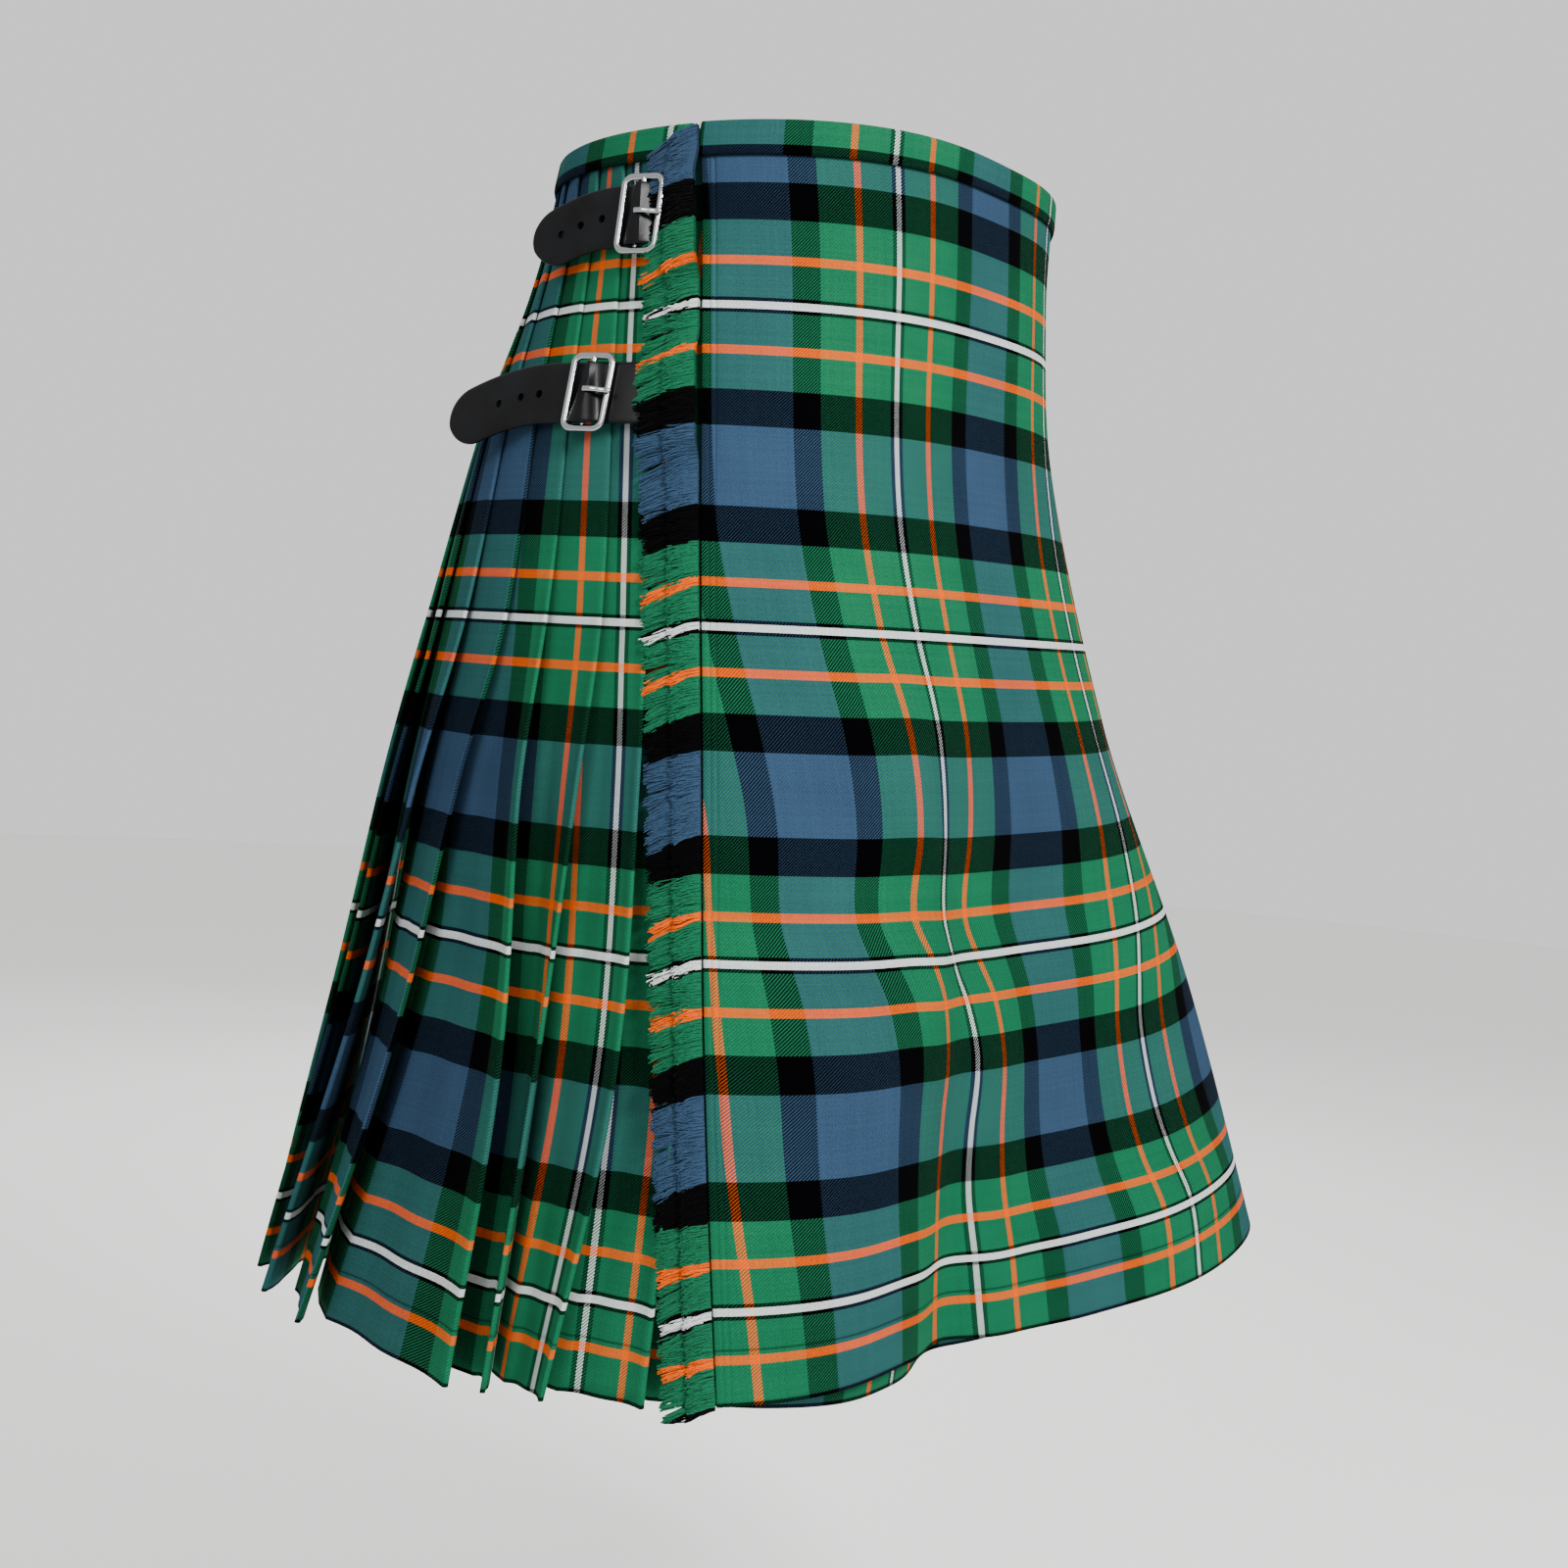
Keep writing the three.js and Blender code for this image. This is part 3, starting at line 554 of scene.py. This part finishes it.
def band_points(turn, outer_lift, inner_lift):
    """Folded strip: up the outer leaf, over a round top, and down the inner leaf, at each turn."""
    outer_leaf = np.linspace(BAND_HEIGHT, BAND_TOP, 9)
    inner_leaf = np.linspace(BAND_TOP, BAND_HEIGHT - 2, 6)
    over = np.linspace(0, np.pi, 9)[1:-1]
    down = np.concatenate([outer_leaf, BAND_TOP - BAND_TOP * np.sin(over), inner_leaf])[None, :]
    share = np.concatenate([0 * outer_leaf, (1 - np.cos(over)) / 2, 0 * inner_leaf + 1])[None, :]
    lift = outer_lift[:, None] * (1 - share) + inner_lift[:, None] * share
    seam = -0.9 * np.exp(-(((outer_leaf - BAND_HEIGHT) / 1.6) ** 2))
    sewn = np.concatenate([seam, 0 * over, 0 * inner_leaf])
    return place(turn[:, None], down, lift + sewn[None, :] * (outer_lift[:, None] > 1))


def make_band(name, node_name, turn, outer_lift, inner_lift, in_sett):
    """One stretch of the waistband, as a sheet round the top edge."""
    points = band_points(turn, outer_lift, inner_lift)
    strip_run = arc_length(points)
    round_run = arc_length(points[:, :1].transpose(1, 0, 2))[0]
    weft_place = FIRST_WHITE + BAND_IN_WEFT + BAND_HEIGHT - strip_run
    piece = make_cloth(name, points, in_sett - round_run[:, None], weft_place)
    finish_piece(piece, band_tartan, "tartan", node_name)


over_turn = np.linspace(float(edge_turn(0)) - 0.3, LEFT_EDGE_TURN - 360 + 0.2, 150)
make_band(
    "waistband_over_apron_cloth",
    "waistband_over_apron",
    over_turn,
    BAND_OUTER + 0 * over_turn,
    BEHIND_APRON + (BEHIND_PLEATS - BEHIND_APRON) * smoothstep(-over_turn, 61, 66),
    CUT_WHITE[0],
)
pleats_turn = np.linspace(LEFT_EDGE_TURN - 0.4, EDGE_TURN[0] + 2.2, 170)
make_band(
    "waistband_pleats_cloth",
    "waistband_pleats",
    pleats_turn,
    BAND_OUTER + 0 * pleats_turn,
    BEHIND_PLEATS + 0 * pleats_turn,
    0.0,
)
inner_turn = np.linspace(70, UNDER_LEFT_TURN + 1, 110)
make_band(
    "waistband_under_apron_cloth",
    "waistband_under_apron",
    inner_turn,
    under_lift(inner_turn, 0 * inner_turn) + UNDER_OUTER,
    under_lift(inner_turn, 0 * inner_turn) - UNDER_INNER,
    0.0,
)

# ---------------------------------------------------------------------------------------------
# Fringe. The over-apron's free edge is frayed to its weft yarns, and a second frayed strip is
# sewn under it, so the fringe is double. The yarns keep the weft's colours, droop and clump.
# ---------------------------------------------------------------------------------------------
STRAP_DOWN = {"waist": 45.0, "hip": 135.0}
FRINGE_RISE = 5.5
SEAM_GAP = 0.4
CLUMP = 4.2
YARN_RADIUS = 0.56
YARN_CORNERS = (0, 2.094, 4.189)  # a third of a turn apart, in radians


def weft_yarn(name):
    """Loose wool yarn in the weft's colours, uneven in shade along its length."""
    material = new_material(name)
    uv = node(material, "ShaderNodeUVMap", uv_map="cloth")
    split = material.node_tree.nodes.new("ShaderNodeSeparateXYZ")
    material.node_tree.links.new(uv, split.inputs[0])
    from_white_line = {0: split.outputs[1], 1: FIRST_WHITE * 0.001}
    v = node(material, "ShaderNodeMath", from_white_line, operation="SUBTRACT")
    colour, _ = sett(material, v, WEFT_SETT)
    hairs = node(material, "ShaderNodeTexNoise", {"Vector": uv, "Scale": 1400.0, "Detail": 3.0})
    shade = node(material, "ShaderNodeMath", {0: hairs, 1: 0.9, 2: 0.5}, operation="MULTIPLY_ADD")
    tinted = mix_colours(material, 1.0, colour, shade, "MULTIPLY")
    finish = {"Base Color": tinted, **wool_sheen(specular=0.03, sheen=0.02)}
    shader = node(material, "ShaderNodeBsdfPrincipled", finish)
    node(material, "ShaderNodeOutputMaterial", {"Surface": shader})
    return material


fringe_yarn = weft_yarn("frayed worsted yarn")


def fringe_rise(down):
    """Height that the fringe is lifted to pass over the right-hand straps."""
    rise = [smoothstep(34 - np.abs(down - centre), 0, 16) for centre in STRAP_DOWN.values()]
    return FRINGE_RISE * np.maximum(*rise)


def fringe_yarns(name, node_name, count, width, lift, droop, seed):
    """Joined mesh of thin three-sided yarns, each a bent line from the seam outward.

    A yarn runs back from the edge along the turn, sinks by its droop, waves a little and drifts
    towards its clump's middle; its radius narrows to the tip.
    """
    rng = np.random.default_rng(seed)
    segments = 6
    t = np.linspace(0, 1, segments)[None, :]
    root = rng.uniform(TOP, LENGTH - 0.5, count)[:, None]
    clump = (np.floor(root / CLUMP) + 0.5) * CLUMP + rng.normal(0, 0.6, (count, 1))
    wave_a, wave_b = rng.uniform(0, 2 * np.pi, (2, count, 1))
    clump_droop = 1 + 0.22 * np.sin(clump * 0.31) + 0.25 * np.sin(clump * 0.113 + 1)
    length = width * (0.88 + 0.12 * rng.random((count, 1)) + 0.04 * np.sin(clump * 0.7))
    length = length * (1 - 0.15 * smoothstep(root, 150, 480))
    beside = smoothstep(22 - np.abs(root - STRAP_DOWN["waist"]), 0, 9)
    across = SEAM_GAP + length * t * (1 - 0.12 * beside * (width > 20))
    sink = droop * clump_droop * length * t**1.4 + rng.normal(0, 0.5, (count, 1)) * t
    gather = (clump - root) * 0.13 * t**1.5
    wave = 0.8 * np.sin(t * 7 + wave_a) * t
    down = np.clip(root + sink + gather + wave, TOP, LENGTH + 6)
    base = edge_turn(np.minimum(down, LENGTH))
    shown = np.minimum(down, LENGTH)
    turn = base + np.degrees(across / reach(base, shown))
    depth = rng.uniform(-0.7, 0.9, (count, 1))
    rise = fringe_rise(root) * (1 + 0 * t)
    yarn_lift = lift + depth * (0.3 + 0.7 * t) + rise + 0.7 * np.sin(t * 6 + wave_b) * t
    line = place(turn, shown, yarn_lift)
    line[..., 2] -= down - shown
    ahead = np.gradient(line, axis=1)
    ahead /= np.linalg.norm(ahead, axis=2, keepdims=True)
    side = np.cross(ahead, [0.0, 0.0, 1.0])
    side /= np.linalg.norm(side, axis=2, keepdims=True)
    other = np.cross(side, ahead)
    radius = (YARN_RADIUS * (1 - 0.45 * t) * rng.uniform(0.75, 1.2, (count, 1)))[..., None]
    corners = [line + radius * (np.cos(a) * side + np.sin(a) * other) for a in YARN_CORNERS]
    points = np.stack(corners, axis=2)
    rings = grid_faces(segments, 3, closed=True)
    faces = (rings[None] + (np.arange(count) * segments * 3)[:, None, None]).reshape(-1, 4)
    along_yarn = np.broadcast_to(across[:, :, None], points.shape[:3])
    uv = np.stack([along_yarn, np.broadcast_to(root[:, :, None], points.shape[:3])], -1)
    piece = make_mesh(name, points, faces, uv)
    return finish_piece(piece, fringe_yarn, "fringe", node_name)


fringe_yarns("fringe_under_yarns", "fringe_under", 6000, 28.0, 2.2, 0.34, 11)
fringe_yarns("fringe_edge_yarns", "fringe_edge", 5200, 15.0, 3.9, 0.3, 12)

# ---------------------------------------------------------------------------------------------
# Straps and buckle tabs. Black bridle leather about 2 mm thick with a satin face and rounded
# edges, cut 31 mm wide with a round tip and punched holes. Each strap is sewn under an apron
# edge and held by a buckle on a tab; two fasten on the right, one on the left waist.
# ---------------------------------------------------------------------------------------------
STRAP_WIDTH, STRAP_THICKNESS = 31.0, 2.2
TAB_THICKNESS, TAB_NARROWER = 1.4, 3.0
TAIL_STAND, TAIL_STATIONS = 6.0, 33
PUNCH_SIDES, PUNCH_REACH = 20, 5
SLOPE_SPAN = 15.0
SHARP = np.radians(38)
HOLE, FIRST_HOLE, HOLE_PITCH = 4.0, 10.0, 12.0
LIFT = dict(tab=2.8, strap=5.2, frame=8.2, ridge=5.9)
FRAME = dict(across=25.0, tall=40.0, bar=3.4, thickness=2.6, corner=5.0)
# The two right-hand buckles' turn and distance down were solved for by a separate program.
STRAPS = [
    dict(name="waist_right", down=45, start=80.4, buckle=90.2, leave=96, tail=47, droop=16),
    dict(name="hip_right", down=135, start=76.6, buckle=93.4, leave=101, tail=64, droop=18),
    dict(name="waist_left", down=45, start=273.5, buckle=262, leave=255, tail=42, droop=10),
]


def bridle_leather(name):
    """Dyed black bridle leather: satin wax finish, fine grain of pores about 0.6 mm apart."""
    material = new_material(name)
    place_in = node(material, "ShaderNodeTexCoord", outputs=3)
    grain = node(material, "ShaderNodeTexVoronoi", {"Vector": place_in, "Scale": 1600.0})
    wear = node(material, "ShaderNodeTexNoise", {"Vector": place_in, "Scale": 60.0, "Detail": 4.0})
    colour = material.node_tree.nodes.new("ShaderNodeValToRGB")
    colour.color_ramp.elements[0].position, colour.color_ramp.elements[0].color = 0.35, linear("#060607")
    colour.color_ramp.elements[1].position, colour.color_ramp.elements[1].color = 0.75, linear("#0d0e10")
    material.node_tree.links.new(wear, colour.inputs[0])
    gloss = node(material, "ShaderNodeMapRange", {0: wear, 3: 0.24, 4: 0.36})
    bump = node(material, "ShaderNodeBump", {"Strength": 0.25, "Distance": 0.0001, "Height": grain})
    shader = node(
        material,
        "ShaderNodeBsdfPrincipled",
        {"Base Color": colour.outputs[0], "Roughness": gloss, "Normal": bump, "Specular IOR Level": 0.11},
    )
    node(material, "ShaderNodeOutputMaterial", {"Surface": shader})
    return material


black_leather = bridle_leather("black bridle leather")


def outward_at(turn, down):
    """Level direction square to the cloth, away from the waist's axis."""
    tangent = place(turn + 1, down) - place(turn - 1, down)
    out = np.array([-tangent[1], tangent[0], 0.0])
    return out / np.linalg.norm(out)


def slope_at(turn, down):
    """Outward slope of the cloth, per millimetre down."""
    return float(reach(turn, down + SLOPE_SPAN) - reach(turn, down - SLOPE_SPAN)) / (2 * SLOPE_SPAN)


def strap_line(strap):
    """Middle line of a strap, the way out of it at each point, and where its tail leaves the hip.

    It runs flat, up over the buckle's centre bar, flat again, then straight off the hip.
    """
    way = np.sign(strap["leave"] - strap["start"])
    half = np.degrees(FRAME["across"] / 2 / float(reach(strap["buckle"], strap["down"])))
    high = LIFT["strap"] + LIFT["ridge"]
    buckle = strap["buckle"]
    turns = list(np.linspace(strap["start"], buckle - way * half, 6)[:-1])
    turns += [buckle + way * half * fifth / 5 for fifth in range(-5, 6)]
    turns += list(np.linspace(buckle + way * half, strap["leave"], 4)[1:])
    stations = []
    for turn in turns:
        near = abs(turn - buckle) / half
        lift = LIFT["strap"] + (high - LIFT["strap"]) * float(1 - smoothstep(near, 0.17, 0.62))
        stations.append((place(turn, strap["down"], lift), outward_at(turn, strap["down"])))
    last, outward = stations[-1]
    onward = way * np.array([outward[1], -outward[0], 0.0])
    for share in np.sin(np.linspace(0, np.pi / 2, TAIL_STATIONS + 1))[1:]:
        tail = last + onward * share * strap["tail"] + outward * share**2 * TAIL_STAND
        stations.append((tail - [0, 0, share**2 * strap["droop"]], outward))
    points, ways_out = (np.array(part) for part in zip(*stations))
    return points, ways_out, last


def leather_strip(points, outward, width, thickness, slope, rounded):
    """Closed strip: a flat rounded section carried along a line, leaning with the cloth's slope."""
    normal = np.sqrt(1 - slope**2) * outward + np.array([0, 0, slope])
    ahead = np.gradient(points, axis=0)
    up = np.cross(normal, ahead)
    up /= np.linalg.norm(up, axis=1, keepdims=True) * np.sign(up[:1, 2:])
    left = np.linalg.norm(points - points[-1], axis=1)
    inset = np.clip(1 - left / (width / 2), 0, 1) if rounded else 0 * left
    half = width / 2 * np.sqrt(np.maximum(1 - inset**2, 0.0004))
    angle = np.linspace(0, 2 * np.pi, 28, endpoint=False)
    high = np.sign(np.cos(angle)) * np.abs(np.cos(angle)) ** 0.22
    thick = np.sign(np.sin(angle)) * np.abs(np.sin(angle)) ** 0.45
    side = half[:, None, None] * high[None, :, None] * up[:, None, :]
    front = thickness / 2 * thick[None, :, None] * normal[:, None, :]
    ring = points[:, None, :] + side + front
    rows, columns = ring.shape[:2]
    faces = grid_faces(rows, columns, closed=True).tolist()
    faces.append(list(range(columns)))
    faces.append(list(range((rows - 1) * columns, rows * columns))[::-1])
    return ring, faces


def faces_out(piece):
    """Recalculate a closed mesh's normals so that they all point out."""
    work = bmesh.new()
    work.from_mesh(piece.data)
    bmesh.ops.remove_doubles(work, verts=work.verts, dist=1e-7)
    bmesh.ops.recalc_face_normals(work, faces=work.faces)
    work.to_mesh(piece.data)
    work.free()


def make_strip(name, points, faces):
    """Mesh of a strip made of quads and two end caps."""
    piece = bpy.data.objects.new(name, bpy.data.meshes.new(name))
    piece.data.from_pydata((np.asarray(points).reshape(-1, 3) * 0.001).tolist(), [], faces)
    bpy.context.scene.collection.objects.link(piece)
    faces_out(piece)
    piece.data.polygons.foreach_set("use_smooth", np.ones(len(piece.data.polygons), bool))
    piece.data.set_sharp_from_angle(angle=SHARP)
    return piece


def punch(piece, centres, direction):
    """Cut a row of round holes through a piece."""
    parts = []
    axis = Vector(direction).to_track_quat("Z", "Y").to_matrix()
    angle = np.linspace(0, 2 * np.pi, PUNCH_SIDES, endpoint=False)
    circle = np.stack([np.cos(angle), np.sin(angle), 0 * angle], -1) * HOLE / 2
    for centre in centres:
        ends = [[0, 0, z] for z in (-PUNCH_REACH, PUNCH_REACH)]
        parts.append(np.stack([(circle + end) @ np.array(axis.transposed()) + centre for end in ends]))
    points = np.concatenate([p.reshape(-1, 3) for p in parts])
    faces = []
    for index in range(len(centres)):
        start = index * 2 * PUNCH_SIDES
        middle, end = start + PUNCH_SIDES, start + 2 * PUNCH_SIDES
        faces += (grid_faces(2, PUNCH_SIDES, closed=True) + start).tolist()
        faces.append(list(range(start, middle)))
        faces.append(list(range(middle, end))[::-1])
    cutter = make_strip("punch", points, faces)
    cut = piece.modifiers.new("punched holes", "BOOLEAN")
    cut.operation, cut.solver, cut.object = "DIFFERENCE", "EXACT", cutter
    bpy.context.view_layer.update()
    mesh = bpy.data.meshes.new_from_object(piece.evaluated_get(bpy.context.evaluated_depsgraph_get()))
    piece.modifiers.clear()
    piece.data = mesh
    piece.data.set_sharp_from_angle(angle=SHARP)
    bpy.data.objects.remove(cutter)


for strap in STRAPS:
    slope = slope_at(strap["buckle"], strap["down"])
    line, out, leave = strap_line(strap)
    ring, faces = leather_strip(line, out, STRAP_WIDTH, STRAP_THICKNESS, slope, True)
    leather = make_strip(f"strap_leather_{strap['name']}", ring, faces)
    tail = line[-TAIL_STATIONS:]
    spots = np.linalg.norm(tail - leave, axis=1)
    holes = [tail[np.argmin(np.abs(spots - FIRST_HOLE - n * HOLE_PITCH))] for n in range(3)]
    punch(leather, holes, out[-1])
    finish_piece(leather, black_leather, "leather", f"strap_{strap['name']}")
    way = np.sign(strap["leave"] - strap["start"])
    turns = strap["buckle"] + way * np.linspace(-3, 13, 12)
    tab_line = np.array([place(turn, strap["down"], LIFT["tab"]) for turn in turns])
    tab_out = np.array([outward_at(turn, strap["down"]) for turn in turns])
    tab_width = STRAP_WIDTH - TAB_NARROWER
    ring, faces = leather_strip(tab_line, tab_out, tab_width, TAB_THICKNESS, slope, False)
    tab = make_strip(f"buckle_tab_leather_{strap['name']}", ring, faces)
    finish_piece(tab, black_leather, "leather", f"buckle_tab_{strap['name']}")

# ---------------------------------------------------------------------------------------------
# Buckles. Nickel-plated steel wire and bar: a rounded rectangle with a centre bar, and a prong
# that starts above the bar, over the strap, and rests on the toe bar.
# ---------------------------------------------------------------------------------------------
PRONG_WIDTH, PRONG_THICKNESS = 2.6, 1.9
PRONG_CLEAR = 1.2  # its middle above the strap's face
PRONG_REACH = 1.14  # of half the frame
TOE_LIFT = 2.9


def nickel_plate(name):
    """Polished nickel plate: a bright neutral metal with faint rubbing marks."""
    material = new_material(name)
    place_in = node(material, "ShaderNodeTexCoord", outputs=3)
    rub = node(material, "ShaderNodeTexNoise", {"Vector": place_in, "Scale": 260.0, "Detail": 5.0})
    rough = node(material, "ShaderNodeMapRange", {0: rub, 3: 0.08, 4: 0.18})
    bump = node(material, "ShaderNodeBump", {"Strength": 0.06, "Distance": 0.0002, "Height": rub})
    shader = node(
        material,
        "ShaderNodeBsdfPrincipled",
        {"Base Color": linear("#9c9da0"), "Metallic": 1.0, "Roughness": rough, "Normal": bump},
    )
    node(material, "ShaderNodeOutputMaterial", {"Surface": shader})
    return material


nickel = nickel_plate("polished nickel plate")


def swept_bar(path, width, thick, closed):
    """Rounded bar carried along a flat path; its section is width across the path by thick out of it."""
    path = np.asarray(path, float)
    if closed:
        ahead = np.roll(path, -1, 0) - np.roll(path, 1, 0)
    else:
        ahead = np.gradient(path, axis=0)
    ahead /= np.linalg.norm(ahead, axis=1, keepdims=True)
    side = np.cross(ahead, [0.0, 0.0, 1.0])
    side /= np.linalg.norm(side, axis=1, keepdims=True)
    other = np.cross(side, ahead)
    angle = np.linspace(0, 2 * np.pi, 16, endpoint=False)
    across = width / 2 * np.sign(np.cos(angle)) * np.abs(np.cos(angle)) ** 0.8
    out = thick / 2 * np.sign(np.sin(angle)) * np.abs(np.sin(angle)) ** 0.8
    width_scale = np.ones(len(path))
    if not closed:
        run = np.linalg.norm(path - path[-1], axis=1)
        width_scale = np.clip(run / (width / 2), 0.35, 1) ** 0.5
    section = across[None, :, None] * side[:, None, :] + out[None, :, None] * other[:, None, :]
    ring = path[:, None, :] + section * width_scale[:, None, None]
    rows, columns = ring.shape[:2]
    if closed:
        ring = np.concatenate([ring, ring[:1]])
        return ring.reshape(-1, 3), grid_faces(rows + 1, columns, closed=True).tolist()
    faces = grid_faces(rows, columns, closed=True).tolist()
    faces.append(list(range(columns)))
    faces.append(list(range((rows - 1) * columns, rows * columns))[::-1])
    return ring.reshape(-1, 3), faces


def rounded_rectangle(across, tall, corner):
    """Points round a rectangle with quarter-circle corners."""
    centres = [(1, 1, 0), (-1, 1, 90), (-1, -1, 180), (1, -1, 270)]
    points = []
    for x, y, start in centres:
        angle = np.radians(start + np.linspace(0, 90, 9))
        corner_x = x * (across / 2 - corner) + corner * np.cos(angle)
        corner_y = y * (tall / 2 - corner) + corner * np.sin(angle)
        points.append(np.stack([corner_x, corner_y, 0 * angle], -1))
    return np.concatenate(points)


def buckle_seat(strap):
    """Origin and axes of a buckle: towards the strap's tip, up the cloth, and outward."""
    slope = slope_at(strap["buckle"], strap["down"])
    level = outward_at(strap["buckle"], strap["down"])
    outward = level * np.sqrt(1 - slope**2) + np.array([0, 0, slope])
    to_tip = np.sign(strap["leave"] - strap["start"]) * np.array([level[1], -level[0], 0.0])
    axes = np.stack([to_tip, np.cross(outward, to_tip), outward])
    return place(strap["buckle"], strap["down"], LIFT["frame"]), axes


for strap in STRAPS:
    origin, axes = buckle_seat(strap)
    bar, thickness = FRAME["bar"], FRAME["thickness"]
    loop = rounded_rectangle(FRAME["across"] - bar, FRAME["tall"] - bar, FRAME["corner"] - bar / 2 + 1)
    frame_points, frame_faces = swept_bar(loop, bar, thickness, True)
    reach_up = FRAME["tall"] / 2 - bar * 0.6
    centre_bar = [[0, y, 0] for y in np.linspace(-reach_up, reach_up, 9)]
    bar_points, bar_faces = swept_bar(centre_bar, bar * 0.85, thickness, False)
    points = np.concatenate([frame_points, bar_points])
    faces = frame_faces + [[i + len(frame_points) for i in face] for face in bar_faces]
    metal = make_strip(f"buckle_frame_nickel_{strap['name']}", points @ axes + origin, faces)
    finish_piece(metal, nickel, "nickel", f"buckle_frame_{strap['name']}")
    ridge = LIFT["strap"] + LIFT["ridge"] + STRAP_THICKNESS / 2 - LIFT["frame"] + PRONG_CLEAR
    half = FRAME["across"] / 2
    t = np.linspace(0, 1, 16)
    prong_height = ridge - 0.2 - (ridge - TOE_LIFT) * smoothstep(t, 0.25, 0.8)
    prong = np.stack([-half * PRONG_REACH * t, 0 * t, prong_height], -1)
    prong_points, prong_faces = swept_bar(prong, PRONG_WIDTH, PRONG_THICKNESS, False)
    pin = make_strip(f"buckle_prong_nickel_{strap['name']}", prong_points @ axes + origin, prong_faces)
    finish_piece(pin, nickel, "nickel", f"buckle_prong_{strap['name']}")

# ---------------------------------------------------------------------------------------------
# Studio: a plain pale floor well below the hem, soft boxes and a pale surround. The camera stands
# at the wearer's right front, a little below the waist, and is turned a few degrees.
# ---------------------------------------------------------------------------------------------
FLOOR_DROP, FLOOR_RADIUS, FLOOR_SIDES = 1.05, 6, 96
floor = bpy.data.objects.new("studio_floor", bpy.data.meshes.new("studio_floor"))
ring_angle = np.linspace(0, 2 * np.pi, FLOOR_SIDES, endpoint=False)
floor_points = [
    [FLOOR_RADIUS * np.cos(a), FLOOR_RADIUS * np.sin(a), -FLOOR_DROP] for a in ring_angle
]
floor.data.from_pydata(floor_points, [], [list(range(FLOOR_SIDES))])
bpy.context.scene.collection.objects.link(floor)
floor_paint = new_material("pale studio floor")
floor_finish = {"Base Color": linear("#f4f4f2"), "Roughness": 0.9}
floor_shader = node(floor_paint, "ShaderNodeBsdfPrincipled", floor_finish)
node(floor_paint, "ShaderNodeOutputMaterial", {"Surface": floor_shader})
floor.data.materials.append(floor_paint)

world = bpy.data.worlds.new("pale surround")
world.use_nodes = True
world.node_tree.nodes["Background"].inputs["Color"].default_value = (1.0, 1.0, 1.0, 1.0)
world.node_tree.nodes["Background"].inputs["Strength"].default_value = 1.0
bpy.context.scene.world = world


def soft_box(name, azimuth, distance, z, size, watts):
    """Square area light that looks at the middle of the kilt from an azimuth."""
    light = bpy.data.lights.new(name, "AREA")
    light.energy, light.size = watts, size
    lamp = bpy.data.objects.new(name, light)
    angle = np.radians(azimuth)
    lamp.location = (np.sin(angle) * distance, -np.cos(angle) * distance, z)
    towards = Vector((0, 0, -0.3)) - lamp.location
    lamp.rotation_euler = towards.to_track_quat("-Z", "Y").to_euler()
    bpy.context.scene.collection.objects.link(lamp)


soft_box("key_light", -22, 1.9, 0.9, 0.6, 92)
soft_box("fill_light", -88, 1.6, 0.6, 0.7, 13)
soft_box("back_light", 130, 2.4, 0.9, 1.4, 40)

CAMERA = dict(azimuth=-57.0, distance=1.190, z=-0.250, pitch=4.0, roll=4.2, pan=0.2, lens=49.16)
camera = bpy.data.cameras.new("camera")
camera.sensor_width = 36.0
camera.lens = CAMERA["lens"]
view = bpy.data.objects.new("camera", camera)
stand = np.radians(CAMERA["azimuth"])
aim, pitch, roll = np.radians([CAMERA["azimuth"] - CAMERA["pan"], CAMERA["pitch"], CAMERA["roll"]])
ahead = Vector((-np.sin(aim) * np.cos(pitch), np.cos(aim) * np.cos(pitch), -np.sin(pitch)))
right = ahead.cross(Vector((0, 0, 1))).normalized()
up = right.cross(ahead)
tilted_right = right * np.cos(roll) + up * np.sin(roll)
tilted_up = up * np.cos(roll) - right * np.sin(roll)
view.matrix_world = Matrix.Translation(
    (np.sin(stand) * CAMERA["distance"], -np.cos(stand) * CAMERA["distance"], CAMERA["z"])
) @ Matrix((tilted_right, tilted_up, -ahead)).transposed().to_4x4()
bpy.context.scene.collection.objects.link(view)
bpy.context.scene.camera = view
